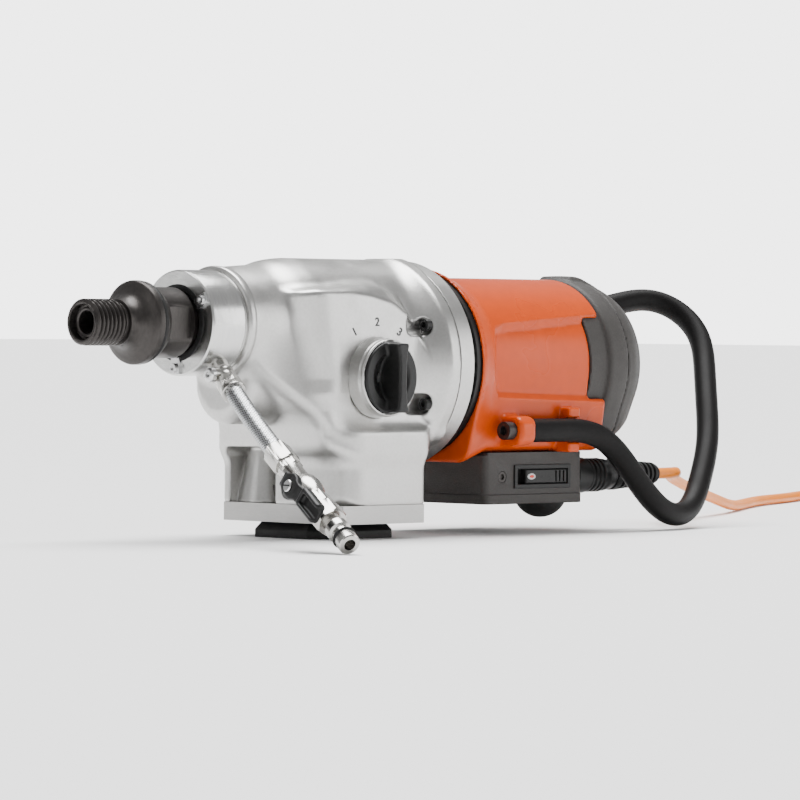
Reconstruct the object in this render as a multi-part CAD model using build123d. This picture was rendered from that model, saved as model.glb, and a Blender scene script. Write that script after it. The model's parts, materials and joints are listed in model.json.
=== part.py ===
from build123d import *
import math
import os

# Core drill motor. Millimetres. X runs from the spindle nose (-X) to the motor's rear (+X), Z is up,
# and the origin is the centre of the mounting shoe's underside, which stands on the ground.

# Axes of the machine, as (y, z)
SPINDLE = (0.0, 150.0)
MOTOR = (0.0, 122.0)
LAYSHAFT = (-9.29, 99.88)
COUNTERSHAFT = (20.0, 106.364)

# Stations along X
NOSE_X = -230.0
THREAD_END_X = -201.0
FLANGE_X = -183.0
NECK_X = -175.5
FLATS_X = (-169.0, -148.0)
COLLAR_X = (-142.0, -110.0)
FLANGE_RING_X = (63.0, 76.0)
INTAKE_X = (76.0, 88.0)
MOTOR_X = (88.0, 230.0)
COVER_X = (230.0, 275.0)
BOX_X = (107.0, 210.0)

# Radii of the main turned parts
THREAD_R = 15.875
COUNTERBORE_R = 12.0
WATER_BORE_R = 8.0
WATER_PORT_R = 3.5
WATER_PORT_X = -126.0
SPINDLE_FLANGE_R = 28.8
NECK_R = 26.0
ACROSS_FLATS = 41.0
JOURNAL_R = 20.0
SHAFT_R = 18.0
REAR_JOURNAL_R = 8.5
COLLAR_R = 36.5
SEAL_R = 26.5
CHAMBER_R = 39.5
FLANGE_RING_R = 73.5
MOTOR_R = 62.0
RUNNING_GAP = 0.05

# Foot
PLATE_SIZE = (84.0, 120.0)
PLATE_Z = (11.0, 24.0)
SHOE_SIZE = (84.0, 80.0)
SHOE_CORNER = 14.0
SHOE_EDGE_Z = 5.5
MOUNT_HOLE_XY = (30.0, 50.0)
MOUNT_HOLE_R = 4.25
BASE_BOLT_XY = (24.0, 22.0)

# Socket cap screws: head radius, head height, shank radius, shank length
M8_SCREW = (6.5, 8.0, 4.0, 28.0)
FLANGE_SCREW = (4.25, 5.0, 2.5, 29.0)
COVER_SCREW = (3.8, 3.5, 2.0, 14.0)
CLIP_SCREW = (3.2, 2.4, 1.5, 8.0)
BOX_SCREW = (4.0, 2.4, 1.6, 9.0)

# Gears, as (teeth, module)
PRESSURE_ANGLE = 20.0
ADDENDUM = 0.85
DEDENDUM = 1.25
TOOTH_THICKNESS = 0.44
ARMATURE_PINION = (11, 1.0)
LAYSHAFT_GEAR = (37, 1.0)
LAYSHAFT_PINION = (14, 1.25)
COUNTERSHAFT_GEAR = (34, 1.25)
COUNTERSHAFT_PINION = (16, 1.5)
OUTPUT_GEAR = (48, 1.5)
STAGE_1_X = (46.0, 54.0)
STAGE_2_X = (28.0, 40.0)
STAGE_3_X = (-10.0, 12.0)
LAYSHAFT_R = 6.0
COUNTERSHAFT_R = 7.0
SHAFT_END_R = 3.5
SHAFT_END_X = (-36.0, 62.0)

# Speed selector
SELECTOR_X = -5.0
SELECTOR_Z = 113.0
SELECTOR_R = 7.0
CRANK_R = 10.0
BEZEL_R = 28.5
KNOB_R = 25.0
SEAT_Y = -57.0
BEZEL_HEIGHT = 13.5
RAIL = (-31.0, 96.0)
RAIL_R = 3.5

# Handle
HANDLE_R = 8.5
HANDLE_ROUTE = [
    (136, -68, 75),
    (217, -68, 75),
    (304, -70, -14),
    (378, -30, 62),
    (439, 31, 148),
    (428, 66, 176),
    (232, 70, 140),
    (166, 70, 140),
]
HANDLE_RADII = [48, 55, 120, 38, 26, 120]
LUG_NEAR_X = (120.0, 136.0)
LUG_FAR_X = (150.0, 166.0)

# Water feed: the elbow's centre, and the two straight stretches of hose and valve
ELBOW = Vector(-124.5, -27.5, 115.0)
HOSE_DIR = Vector(-0.2546, -0.788, -0.5595).normalized()
VALVE_DIR = Vector(-0.272, -0.843, -0.464).normalized()
LEVER_DIR = Vector(-0.952, 0.167, 0.255).normalized()
HOSE_R = 6.7
HOSE_START = 14.0
HOSE_CORNER = 56.0
HOSE_END = 50.0
FERRULE_LENGTH = 20.0
VALVE_START = 62.0
BALL_AT = 96.0
NUT_AT = 122.0
NIPPLE_AT = 138.0
NIPPLE_END = 166.0
BALL_R = 7.5
VALVE_BORE_R = 4.0
STEM_R = 3.0
LEVER_HEIGHT = 11.6

# Power cable: the route of the stretch that is not coiled, then the coil and the plug
CABLE_R = 4.15
GLAND = (-40.0, 41.0)
GLAND_X = (210.0, 254.0)
RELIEF_X = (254.0, 304.0)
CABLE_ROUTE = [
    (304, -40, 41),
    (321, -40, 41),
    (337, -33.5, 41),
    (352, -19, 40.5),
    (371, 3, 39),
    (398, 27, 35.5),
    (434, 50, 30),
    (482, 76, 22),
    (540, 104, 13),
    (600, 138, 5),
    (664, 181, 4.4),
    (728, 220, 4.7),
    (796, 250, 4.4),
    (864, 286, 4.6),
    (928, 310, 4.4),
]
COIL_CENTRE = (948.5, 255.3)
COIL_MEAN_R = 50.0
COIL_HALF_WIDTH = 12.6
COIL_HEIGHT = 33.5
PLUG_GAP = 0.3
PLUG_LENGTH = 46.0


def turned(points, axis=SPINDLE):
    """A solid turned about an X-parallel axis from (x, radius) points."""
    face = make_face(Polyline(*points, close=True))
    return Pos(0, *axis) * revolve(face, Axis.X)


def ring_x(span, r_in, r_out, axis=SPINDLE):
    """A plain ring about an X-parallel axis."""
    return turned([(span[0], r_in), (span[1], r_in), (span[1], r_out), (span[0], r_out)], axis)


def rod_x(span, radius, axis=SPINDLE):
    """A cylinder along X."""
    middle = Pos((span[0] + span[1]) / 2, *axis)
    return middle * Rot(0, 90, 0) * Cylinder(radius, span[1] - span[0])


def rod_y(span, radius, x, z):
    """A cylinder along Y."""
    return Pos(x, (span[0] + span[1]) / 2, z) * Rot(90, 0, 0) * Cylinder(radius, span[1] - span[0])


def rod_z(span, radius, x, y):
    """A cylinder along Z."""
    return Pos(x, y, (span[0] + span[1]) / 2) * Cylinder(radius, span[1] - span[0])


def block(x, y, z):
    """A box from its (low, high) span on each axis."""
    middle = Pos((x[0] + x[1]) / 2, (y[0] + y[1]) / 2, (z[0] + z[1]) / 2)
    return middle * Box(x[1] - x[0], y[1] - y[0], z[1] - z[0])


def side_span(side, low, high):
    """The (low, high) span on the +Y side for side 1, or mirrored on the -Y side for side -1."""
    return tuple(sorted((side * low, side * high)))


def along(start, direction, span, radius):
    """A cylinder along a slanting line, between two distances from its start."""
    plane = Plane(origin=start + direction * span[0], z_dir=direction)
    return extrude(plane * Circle(radius), span[1] - span[0])


def hexagon_along(start, direction, span, across_flats):
    """A hexagonal bar along a slanting line."""
    plane = Plane(origin=start + direction * span[0], z_dir=direction)
    return extrude(plane * RegularPolygon(across_flats / 2, 6, major_radius=False), span[1] - span[0])


def cap_screw(size):
    """A socket cap screw along Z: the head stands on z = 0 and the shank goes down."""
    head_r, head_h, shank_r, shank_h = size
    head = Pos(0, 0, head_h / 2) * Cylinder(head_r, head_h)
    shank = Pos(0, 0, -shank_h / 2) * Cylinder(shank_r, shank_h)
    socket = Pos(0, 0, head_h * 0.45) * extrude(RegularPolygon(head_r * 0.55, 6), head_h)
    return head + shank - socket


def screw_holes(shape, places, size, counterbore=0.0):
    """The shape with a hole for each screw's shank and, if asked, a counterbore above its head."""
    head_r, _, shank_r, shank_h = size
    for place in places:
        shape -= place * Pos(0, 0, -shank_h / 2) * Cylinder(shank_r, shank_h)
        if counterbore:
            shape -= place * Pos(0, 0, counterbore / 2) * Cylinder(head_r + 0.3, counterbore)
    return shape


def group(pieces):
    """Several separate solids kept in one node."""
    return Compound(children=list(pieces))


def screws(places, size):
    return group(place * cap_screw(size) for place in places)


# ---------------------------------------------------------------- gears and bearings


def involute(angle):
    return math.tan(angle) - angle


def gear_face(gear, toward_deg, gap):
    """A gear outline with a tooth, or a gap, on the line towards its mate."""
    teeth, module = gear
    pitch_r = teeth * module / 2
    base_r = pitch_r * math.cos(math.radians(PRESSURE_ANGLE))
    root_r = pitch_r - DEDENDUM * module
    tip_r = pitch_r + ADDENDUM * module
    half_tooth = TOOTH_THICKNESS * math.pi / teeth
    start = math.radians(toward_deg) + (math.pi / teeth if gap else 0.0)
    flank = [root_r, max(base_r, root_r + 0.1), pitch_r, (pitch_r + tip_r) / 2, tip_r]

    def half_angle(radius):
        pressure = math.acos(min(1.0, base_r / radius))
        return half_tooth + involute(math.radians(PRESSURE_ANGLE)) - involute(pressure)

    points = []
    for tooth in range(teeth):
        centre = start + 2 * math.pi * tooth / teeth
        rising = [(r, centre - half_angle(r)) for r in flank]
        falling = [(r, centre + half_angle(r)) for r in reversed(flank)]
        points += [(r * math.cos(a), r * math.sin(a)) for r, a in rising + falling]
    return make_face(Polyline(*points, close=True))


def spur_gear(gear, span, centre, mate, gap=False, bore=0.0):
    """A spur gear on an X-parallel shaft, in mesh with the gear centred at mate."""
    toward = math.degrees(math.atan2(mate[1] - centre[1], mate[0] - centre[0]))
    plane = Plane(origin=(span[0], *centre), x_dir=(0, 1, 0), z_dir=(1, 0, 0))
    solid = extrude(plane * gear_face(gear, toward, gap), span[1] - span[0])
    if bore:
        solid -= rod_x((span[0] - 1, span[1] + 1), bore, centre)
    return solid


def ball_bearing(x0, width, r_in, r_out, centre):
    """An inner ring, an outer ring and the balls between them, as separate solids."""
    middle_r = (r_in + r_out) / 2
    ball_r = (r_out - r_in) * 0.24
    race = (r_out - r_in) * 0.32
    groove_centre = Pos(x0 + width / 2, *centre)
    groove = groove_centre * Rot(0, 90, 0) * Torus(middle_r, ball_r + 0.08)
    pieces = [
        ring_x((x0, x0 + width), r_in, r_in + race, centre) - groove,
        ring_x((x0, x0 + width), r_out - race, r_out, centre) - groove,
    ]
    count = int(2 * math.pi * middle_r / (ball_r * 2.6))
    for index in range(count):
        angle = 2 * math.pi * index / count
        offset = Pos(0, middle_r * math.cos(angle), middle_r * math.sin(angle))
        pieces.append(groove_centre * offset * Sphere(ball_r))
    return pieces


# ---------------------------------------------------------------- spindle and water swivel


def make_spindle():
    """The hollow drill spindle: threaded nose, stop flange, wrench flats and shaft."""
    x = FLANGE_X
    front = Polyline((NOSE_X, COUNTERBORE_R), (NOSE_X, THREAD_R - 1.6), (NOSE_X + 1.6, THREAD_R),
                     (THREAD_END_X, THREAD_R), (THREAD_END_X, THREAD_R - 2.2),
                     (THREAD_END_X + 2.5, THREAD_R - 2.2), (THREAD_END_X + 2.5, THREAD_R),
                     (x - 12, THREAD_R))
    throat = ThreePointArc((x - 12, THREAD_R), (x - 4.5, THREAD_R + 2.6), (x - 1, THREAD_R + 8))
    rear = Polyline((x - 1, THREAD_R + 8), (x - 1, SPINDLE_FLANGE_R - 2), (x, SPINDLE_FLANGE_R),
                    (x + 4.5, SPINDLE_FLANGE_R), (x + 4.5, NECK_R - 2), (NECK_X, NECK_R - 2),
                    (NECK_X, NECK_R), (FLATS_X[0], NECK_R - 1.4), (FLATS_X[1], NECK_R - 1.4),
                    (FLATS_X[1] + 2, JOURNAL_R), (-83, JOURNAL_R), (-83, SHAFT_R), (46, SHAFT_R),
                    (46, REAR_JOURNAL_R), (61.5, REAR_JOURNAL_R), (61.5, 0), (-110, 0),
                    (-114, WATER_BORE_R), (NOSE_X + 7.5, WATER_BORE_R), (NOSE_X + 9.5, COUNTERBORE_R),
                    (NOSE_X, COUNTERBORE_R))
    spindle = Pos(0, *SPINDLE) * revolve(make_face(front + throat + rear), Axis.X)
    for side in (-1, 1):
        beyond_flat = side_span(side, ACROSS_FLATS / 2, NECK_R + 2)
        spindle -= block(FLATS_X, beyond_flat, (SPINDLE[1] - 30, SPINDLE[1] + 30))
    spindle -= rod_z((SPINDLE[1] - 25, SPINDLE[1] + 25), WATER_PORT_R, WATER_PORT_X, 0)
    return spindle


def make_spindle_ring():
    """The rubber ring in the groove behind the spindle's flange."""
    return ring_x((FLANGE_X + 4.5, NECK_X), NECK_R - 2, SPINDLE_FLANGE_R - 0.4)


def clip_angles():
    """The three places round the collar's face that hold the seal's clips."""
    return [30, 150, 270]


def make_water_collar():
    front, rear = COLLAR_X
    collar = turned([(front, SEAL_R), (front, COLLAR_R - 1.5), (front + 1.5, COLLAR_R), (rear, COLLAR_R),
                     (rear, SEAL_R), (rear - 8.5, SEAL_R), (rear - 8.5, 22), (rear - 13, 22),
                     (rear - 13, 25), (rear - 20, 25), (rear - 20, 22), (front + 8.5, 22),
                     (front + 8.5, SEAL_R)])
    radial = (Vector(0, ELBOW.Y, ELBOW.Z - SPINDLE[1])).normalized()
    axis_point = Vector(ELBOW.X, SPINDLE[0], SPINDLE[1])
    collar -= along(axis_point, radial, (23.5, 40), 4)
    return screw_holes(collar, clip_screw_places(), CLIP_SCREW)


def make_collar_seals():
    """Lip seals in front of and behind the water gallery."""
    front, rear = COLLAR_X
    lip = JOURNAL_R + RUNNING_GAP
    nose_seal = turned([(front + 0.3, lip + 1.4), (front + 3, lip), (front + 8.5, lip),
                        (front + 8.5, SEAL_R), (front - 0.5, SEAL_R), (front - 0.5, SEAL_R - 2.5)])
    return group([nose_seal, ring_x((rear - 8.5, rear - 0.5), lip, SEAL_R)])


def make_seal_clips():
    """Three small clips that hold the front seal in the collar."""
    face_x = COLLAR_X[0]
    clips = []
    for angle in clip_angles():
        tab = block((face_x - 2.1, face_x - 0.6), (23.5, 35), (-4, 4))
        foot = block((face_x - 0.6, face_x), (27, 35), (-4, 4))
        clip = Pos(0, *SPINDLE) * Rot(angle, 0, 0) * (tab + foot)
        clips.append(screw_holes(clip, clip_screw_places(), CLIP_SCREW))
    return group(clips)


def clip_screw_places():
    on_clip = Pos(COLLAR_X[0] - 2.1, 31, 0) * Rot(0, -90, 0)
    return [Pos(0, *SPINDLE) * Rot(angle, 0, 0) * on_clip for angle in clip_angles()]


def make_water_elbow():
    """The cast elbow that is screwed into the collar and turns to meet the hose."""
    centre = ELBOW
    radial = (Vector(0, centre.Y, centre.Z - SPINDLE[1])).normalized()
    axis_point = Vector(centre.X, SPINDLE[0], SPINDLE[1])
    reach = (centre - axis_point).length
    elbow = along(axis_point, radial, (28, reach), 4) + along(axis_point, radial, (COLLAR_R - 0.4, reach), 7)
    elbow += Pos(*centre) * Sphere(8)
    elbow += along(centre, HOSE_DIR, (0, 8), 6.8)
    elbow += rod_x((centre.X - 10, centre.X), 5.2, (centre.Y, centre.Z))
    elbow -= along(axis_point, radial, (27, reach), 2.4)
    elbow -= along(centre, HOSE_DIR, (0, 9), 2.4)
    collar_body = rod_x((COLLAR_X[0] - 1, COLLAR_X[1] + 1), COLLAR_R)
    stub = along(axis_point, radial, (28, COLLAR_R), 4)
    return elbow - (collar_body - stub)


def make_elbow_plug():
    """The dark blanking plug on the elbow's unused side."""
    x = ELBOW.X - 10
    axis = (ELBOW.Y, ELBOW.Z)
    plug = turned([(x - 4.5, 0), (x - 4.5, 3.8), (x - 3.5, 5.2), (x, 5.2), (x, 0)], axis)
    return plug - rod_x((x - 6, x - 2.5), 2, axis)


def hose_corner():
    return ELBOW + HOSE_DIR * HOSE_CORNER


def make_hose_ferrules():
    """Hexagon ended crimp sleeves at both ends of the braided hose."""
    upper = hexagon_along(ELBOW, HOSE_DIR, (8, 17), 15) + along(ELBOW, HOSE_DIR, (17, 22), 8.2)
    upper -= along(ELBOW, HOSE_DIR, (HOSE_START, 23), HOSE_R)
    upper -= along(ELBOW, HOSE_DIR, (7, HOSE_START + 1), 2.4)
    corner = hose_corner()
    lower_start = VALVE_START - FERRULE_LENGTH
    lower = hexagon_along(corner, VALVE_DIR, (lower_start, VALVE_START), 17)
    lower -= along(corner, VALVE_DIR, (lower_start - 1, HOSE_END), HOSE_R)
    lower -= along(corner, VALVE_DIR, (HOSE_END - 1, VALVE_START + 1), VALVE_BORE_R)
    return group([upper, lower])


def make_water_hose():
    """The short braided hose between the elbow and the valve."""
    start = ELBOW + HOSE_DIR * HOSE_START
    corner = hose_corner()
    end = corner + VALVE_DIR * HOSE_END
    path = FilletPolyline(start, corner, end, radius=route_radii([start, corner, end]))
    section = Plane(origin=start, z_dir=HOSE_DIR) * Circle(HOSE_R)
    return sweep(section, path=path)


def make_valve_body():
    """The ball valve's body with its hexagon outlet nut."""
    corner = hose_corner()
    ball = corner + VALVE_DIR * BALL_AT
    body = along(corner, VALVE_DIR, (VALVE_START, NUT_AT), 7.6)
    body += Pos(*ball) * Sphere(BALL_R + 3.2)
    body += hexagon_along(corner, VALVE_DIR, (NUT_AT - 14, NUT_AT), 17)
    body += hexagon_along(corner, VALVE_DIR, (VALVE_START, VALVE_START + 8), 15)
    body += along(ball, LEVER_DIR, (0, LEVER_HEIGHT - 0.3), 5.5)
    body -= Pos(*ball) * Sphere(BALL_R + 0.1)
    body -= along(corner, VALVE_DIR, (VALVE_START - 1, NUT_AT + 1), VALVE_BORE_R)
    body -= along(ball, LEVER_DIR, (0, 20), STEM_R + RUNNING_GAP)
    return body


def make_valve_ball():
    """The drilled ball and its stem."""
    ball_centre = hose_corner() + VALVE_DIR * BALL_AT
    ball = Pos(*ball_centre) * Sphere(BALL_R)
    ball -= along(ball_centre - VALVE_DIR * 10, VALVE_DIR, (0, 20), VALVE_BORE_R)
    return ball + along(ball_centre, LEVER_DIR, (BALL_R - 1.5, LEVER_HEIGHT), STEM_R)


def lever_frame():
    """Lever plane: X along the flow, Z away from the valve along the stem."""
    origin = hose_corner() + VALVE_DIR * BALL_AT + LEVER_DIR * LEVER_HEIGHT
    return Plane(origin=origin, x_dir=VALVE_DIR, z_dir=LEVER_DIR)


def make_valve_lever():
    """The dark lever: a hub, a cranked arm and a paddle."""
    frame = lever_frame()
    lever = extrude(frame * Circle(9), 4)
    lever += extrude(frame * Pos(14, 2) * Rectangle(24, 12), 4)
    lever += extrude(frame.offset(1) * Pos(34, 4) * RectangleRounded(24, 14, 4), 8)
    lever += extrude(frame * Pos(-8, 0) * Rectangle(8, 11), 4)
    return lever - extrude(frame.offset(-1) * Circle(1.8), 6)


def make_lever_screw():
    """The bright slotted screw that holds the lever on its stem."""
    frame = lever_frame()
    head = extrude(frame.offset(4) * Circle(4.2), 2)
    shank = extrude(frame * Circle(1.8), 4.1)
    slot = extrude(frame.offset(5) * Rectangle(9, 1), 2)
    return head + shank - slot


def make_hose_nipple():
    """The quick-coupling nipple at the free end, with a hexagon and a seal groove."""
    corner = hose_corner()
    nipple = hexagon_along(corner, VALVE_DIR, (NUT_AT, NIPPLE_AT), 19)
    nipple += along(corner, VALVE_DIR, (NIPPLE_AT, NIPPLE_END), 6.2)
    nipple += along(corner, VALVE_DIR, (NIPPLE_AT + 6, NIPPLE_AT + 12), 8)
    nipple += along(corner, VALVE_DIR, (NIPPLE_AT + 20, NIPPLE_END), 7.4)
    return nipple - along(corner, VALVE_DIR, (NUT_AT - 1, NIPPLE_END + 1), VALVE_BORE_R)


def make_nipple_seal():
    """The O-ring in the nipple's groove."""
    corner = hose_corner()
    plane = Plane(origin=corner + VALVE_DIR * (NIPPLE_AT + 18.5), z_dir=VALVE_DIR)
    return plane.location * Torus(7.2, 1.0)


# ---------------------------------------------------------------- gearbox casing and foot


def casing_section(x, foot_z, foot_half, radius, centre_z):
    """A closed outline at x: a flat foot, two straight sides and the arc that they touch."""
    reach = math.hypot(foot_half, centre_z - foot_z)
    rise = math.atan2(foot_z - centre_z, foot_half) + math.acos(radius / reach)
    touch = (radius * math.cos(rise), centre_z + radius * math.sin(rise))
    plane = Plane(origin=(x, 0, 0), x_dir=(0, 1, 0), z_dir=(1, 0, 0))
    foot = Line((-foot_half, foot_z), (foot_half, foot_z))
    near = Line((foot_half, foot_z), touch)
    crown = ThreePointArc(touch, (0, centre_z + radius), (-touch[0], touch[1]))
    far = Line((-touch[0], touch[1]), (-foot_half, foot_z))
    return plane * make_face(foot + near + crown + far)


def make_casing_outside():
    """The cast body: it widens from the round collar seat to the square foot and the round flange."""
    z = SPINDLE[1]
    sections = [
        casing_section(-104, 121, 26, 38, z),
        casing_section(-92, 111, 35, 39.5, z),
        casing_section(-72, 95, 46, 41, z),
        casing_section(-62, 87, 51, 45.5, z),
        casing_section(-47, 75, 57, 46, z),
        casing_section(-42, PLATE_Z[1], 60, 46, z),
        casing_section(42, PLATE_Z[1], 60, 46, z),
        casing_section(46, 58, 58, 50, z - 3),
        casing_section(FLANGE_RING_X[0] - 8, 54, 34, FLANGE_RING_R, MOTOR[1]),
        casing_section(FLANGE_RING_X[0], 54, 34, FLANGE_RING_R, MOTOR[1]),
    ]
    body = loft(sections, ruled=True)
    body += rod_x((COLLAR_X[1], -100), 38)
    body += rod_y((SEAT_Y, -40), BEZEL_R + 1, SELECTOR_X, SELECTOR_Z)
    return body - rod_y((SEAT_Y - 20, SEAT_Y), BEZEL_R + 1, SELECTOR_X, SELECTOR_Z)


def flange_bolt_centres():
    """Four bolts at 26 degrees above and below the motor axis, as (y, z)."""
    centres = []
    for angle in (26, 154, 206, 334):
        spot = math.radians(angle)
        centres.append((MOTOR[0] + 63.5 * math.cos(spot), MOTOR[1] + 63.5 * math.sin(spot)))
    return centres


def flange_bolt_places():
    return [Pos(46, y, z) * Rot(0, -90, 0) for y, z in flange_bolt_centres()]


def base_bolt_places():
    """Four bolts up through the shoe and the plate into the casting."""
    places = []
    for x in (-BASE_BOLT_XY[0], BASE_BOLT_XY[0]):
        for y in (-BASE_BOLT_XY[1], BASE_BOLT_XY[1]):
            places.append(Pos(x, y, 8.5) * Rot(180, 0, 0))
    return places


def make_gear_housing():
    """The gearbox casting, bored for its shafts and hollow round its gears."""
    casing = make_casing_outside()
    rear = FLANGE_RING_X[0]
    casing -= rod_x((-111, -99), 24)
    casing -= rod_x((-99, -84), 34)
    casing -= rod_x((-84, -20), 30)
    casing -= rod_x((-20, rear + 1), CHAMBER_R)
    casing -= rod_x((-28, rear + 1), 21.5, LAYSHAFT)
    casing -= rod_x((-28, rear + 1), 24.5, COUNTERSHAFT)
    casing -= rod_x((-36, -27), 9.5, LAYSHAFT)
    casing -= rod_x((-36, -27), 9.5, COUNTERSHAFT)
    casing -= block((-28, 20), (-44, -9), (88, 132))
    casing -= rod_y((-60, -40), SELECTOR_R + RUNNING_GAP, SELECTOR_X, SELECTOR_Z)
    window = block((-43, -4), (6, 52), (PLATE_Z[1], 63))
    window = fillet(window.edges().filter_by(Axis.X).group_by(Axis.Z)[-1], 7)
    post = Pos(-24, 28, PLATE_Z[1] + 20) * Cone(15, 9, 40)
    casing -= window
    casing += post & block((-40, -4), (6, 52), (PLATE_Z[1], 63))
    for y, z in flange_bolt_centres():
        casing -= rod_x((30, 46), 7, (y, z))
        outward = 1 if y > 0 else -1
        casing -= block((30, 46), side_span(outward, abs(y), abs(y) + 20), (z - 7, z + 7))
    for x in (-MOUNT_HOLE_XY[0], MOUNT_HOLE_XY[0]):
        for y in (-MOUNT_HOLE_XY[1], MOUNT_HOLE_XY[1]):
            casing -= rod_z((PLATE_Z[1] - 1, PLATE_Z[1] + 16), MOUNT_HOLE_R, x, y)
    casing -= rod_x((-34, 26), RAIL_R, RAIL)
    casing = screw_holes(casing, flange_bolt_places(), FLANGE_SCREW)
    return screw_holes(casing, base_bolt_places(), M8_SCREW)


def make_base_plate():
    """The machined foot of the gearbox."""
    half_x, half_y = PLATE_SIZE[0] / 2, PLATE_SIZE[1] / 2
    plate = block((-half_x, half_x), (-half_y, half_y), PLATE_Z)
    plate = chamfer(plate.edges().filter_by(Axis.Z), 2)
    for x in (-MOUNT_HOLE_XY[0], MOUNT_HOLE_XY[0]):
        for y in (-MOUNT_HOLE_XY[1], MOUNT_HOLE_XY[1]):
            plate -= rod_z((PLATE_Z[0] - 1, PLATE_Z[1] + 1), MOUNT_HOLE_R, x, y)
    return screw_holes(plate, base_bolt_places(), M8_SCREW)


def shoe_outline(inset):
    """An octagon for the shoe, drawn in from its edge by the inset."""
    x, y = SHOE_SIZE[0] / 2 - inset, SHOE_SIZE[1] / 2 - inset
    c = SHOE_CORNER - inset * 0.6
    corners = [(x, y - c), (x - c, y), (c - x, y), (-x, y - c), (-x, c - y), (c - x, -y), (x - c, -y), (x, c - y)]
    return make_face(Polyline(*corners, close=True))


def make_mounting_shoe():
    """The dovetail shoe that a drill stand's quick clamp takes hold of."""
    shoe = extrude(shoe_outline(0), SHOE_EDGE_Z)
    top = Plane.XY.offset(PLATE_Z[0]) * shoe_outline(5)
    shoe += loft([Plane.XY.offset(SHOE_EDGE_Z) * shoe_outline(0), top])
    return screw_holes(shoe, base_bolt_places(), M8_SCREW, counterbore=9)


def make_intermediate_flange():
    """The ring between gearbox and motor, which carries the rear shaft bearings."""
    x0, x1 = FLANGE_RING_X
    flange = ring_x((x0, x1), 8, FLANGE_RING_R, MOTOR)
    flange -= rod_x((x0 + 3, x1 + 1), 17.5, MOTOR)
    flange += ring_x((x0 - 11, x0), 17.5, 20.5, SPINDLE) + ring_x((x0 - 1, x0), 9, 20.5, SPINDLE)
    for centre in (LAYSHAFT, COUNTERSHAFT):
        flange += ring_x((x0 - 7, x0), 9.5, 11.5, centre)
    flange -= rod_x((x0 - 12, x0 + 2), 8, MOTOR)
    flange -= rod_x((x0 - 0.9, x0), 9, SPINDLE)
    for angle in range(0, 360, 30):
        spot = math.radians(angle + 15)
        centre = (MOTOR[0] + 48 * math.cos(spot), MOTOR[1] + 48 * math.sin(spot))
        flange -= rod_x((x0 + 5, x1 + 1), 6, centre)
    return screw_holes(flange, flange_bolt_places(), FLANGE_SCREW)


def make_intake_ring():
    """The slotted ring that lets cooling air into the motor."""
    x0, x1 = INTAKE_X
    ring = ring_x((x0, x1), 57, 61, MOTOR) + ring_x((x0, x0 + 2), 57, 67, MOTOR)
    for angle in range(0, 360, 15):
        slot = block((x0 + 4, x1 - 2), (50, 70), (-2.5, 2.5))
        ring -= Pos(0, *MOTOR) * Rot(angle, 0, 0) * slot
    return ring


# ---------------------------------------------------------------- gear train and selector


def gearbox_bearing_list():
    pieces = ball_bearing(-99, 15, JOURNAL_R + RUNNING_GAP, 34, SPINDLE)
    pieces += ball_bearing(52, 10, REAR_JOURNAL_R + RUNNING_GAP, 17.5, SPINDLE)
    for centre in (LAYSHAFT, COUNTERSHAFT):
        pieces += ball_bearing(-36, 6, SHAFT_END_R + RUNNING_GAP, 9.5, centre)
        pieces += ball_bearing(56, 6, SHAFT_END_R + RUNNING_GAP, 9.5, centre)
    return pieces


def stepped_shaft(radius, centre):
    """A gearbox shaft with thinner ends for its bearings."""
    x0, x1 = SHAFT_END_X
    return turned([(x0, 0), (x0, SHAFT_END_R), (x0 + 7, SHAFT_END_R), (x0 + 7, radius), (x1 - 7, radius),
                   (x1 - 7, SHAFT_END_R), (x1, SHAFT_END_R), (x1, 0)], centre)


def make_layshaft():
    """The first shaft, with its pinion cut on it."""
    pinion = spur_gear(LAYSHAFT_PINION, STAGE_2_X, LAYSHAFT, COUNTERSHAFT)
    return stepped_shaft(LAYSHAFT_R, LAYSHAFT) + pinion


def make_layshaft_gear():
    gear = spur_gear(LAYSHAFT_GEAR, STAGE_1_X, LAYSHAFT, MOTOR, gap=True, bore=LAYSHAFT_R)
    return gear


def make_countershaft():
    """The second shaft, with its pinion cut on it."""
    pinion = spur_gear(COUNTERSHAFT_PINION, STAGE_3_X, COUNTERSHAFT, SPINDLE)
    return stepped_shaft(COUNTERSHAFT_R, COUNTERSHAFT) + pinion


def make_countershaft_gear():
    gear = spur_gear(COUNTERSHAFT_GEAR, STAGE_2_X, COUNTERSHAFT, LAYSHAFT, gap=True, bore=COUNTERSHAFT_R)
    return gear


def make_clutch_springs():
    """Three disc springs of the slip clutch, pressed against the countershaft gear."""
    springs = []
    for index in range(3):
        x = 15.5 + index * 4
        points = [(x, COUNTERSHAFT_R), (x + 1.2, COUNTERSHAFT_R), (x + 3.2, 13), (x + 2, 13)]
        springs.append(turned(points, COUNTERSHAFT))
    return group(springs)


def make_output_gear():
    gear = spur_gear(OUTPUT_GEAR, STAGE_3_X, SPINDLE, COUNTERSHAFT, gap=True, bore=SHAFT_R)
    return gear


def make_shift_sleeve():
    """The grooved sleeve that the fork slides along the layshaft."""
    x = SELECTOR_X
    bore = LAYSHAFT_R + RUNNING_GAP
    return turned([(x - 7, bore), (x - 7, 12), (x - 2.1, 12), (x - 2.1, 9.5), (x + 2.1, 9.5), (x + 2.1, 12),
                   (x + 7, 12), (x + 7, bore)], LAYSHAFT)


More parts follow.
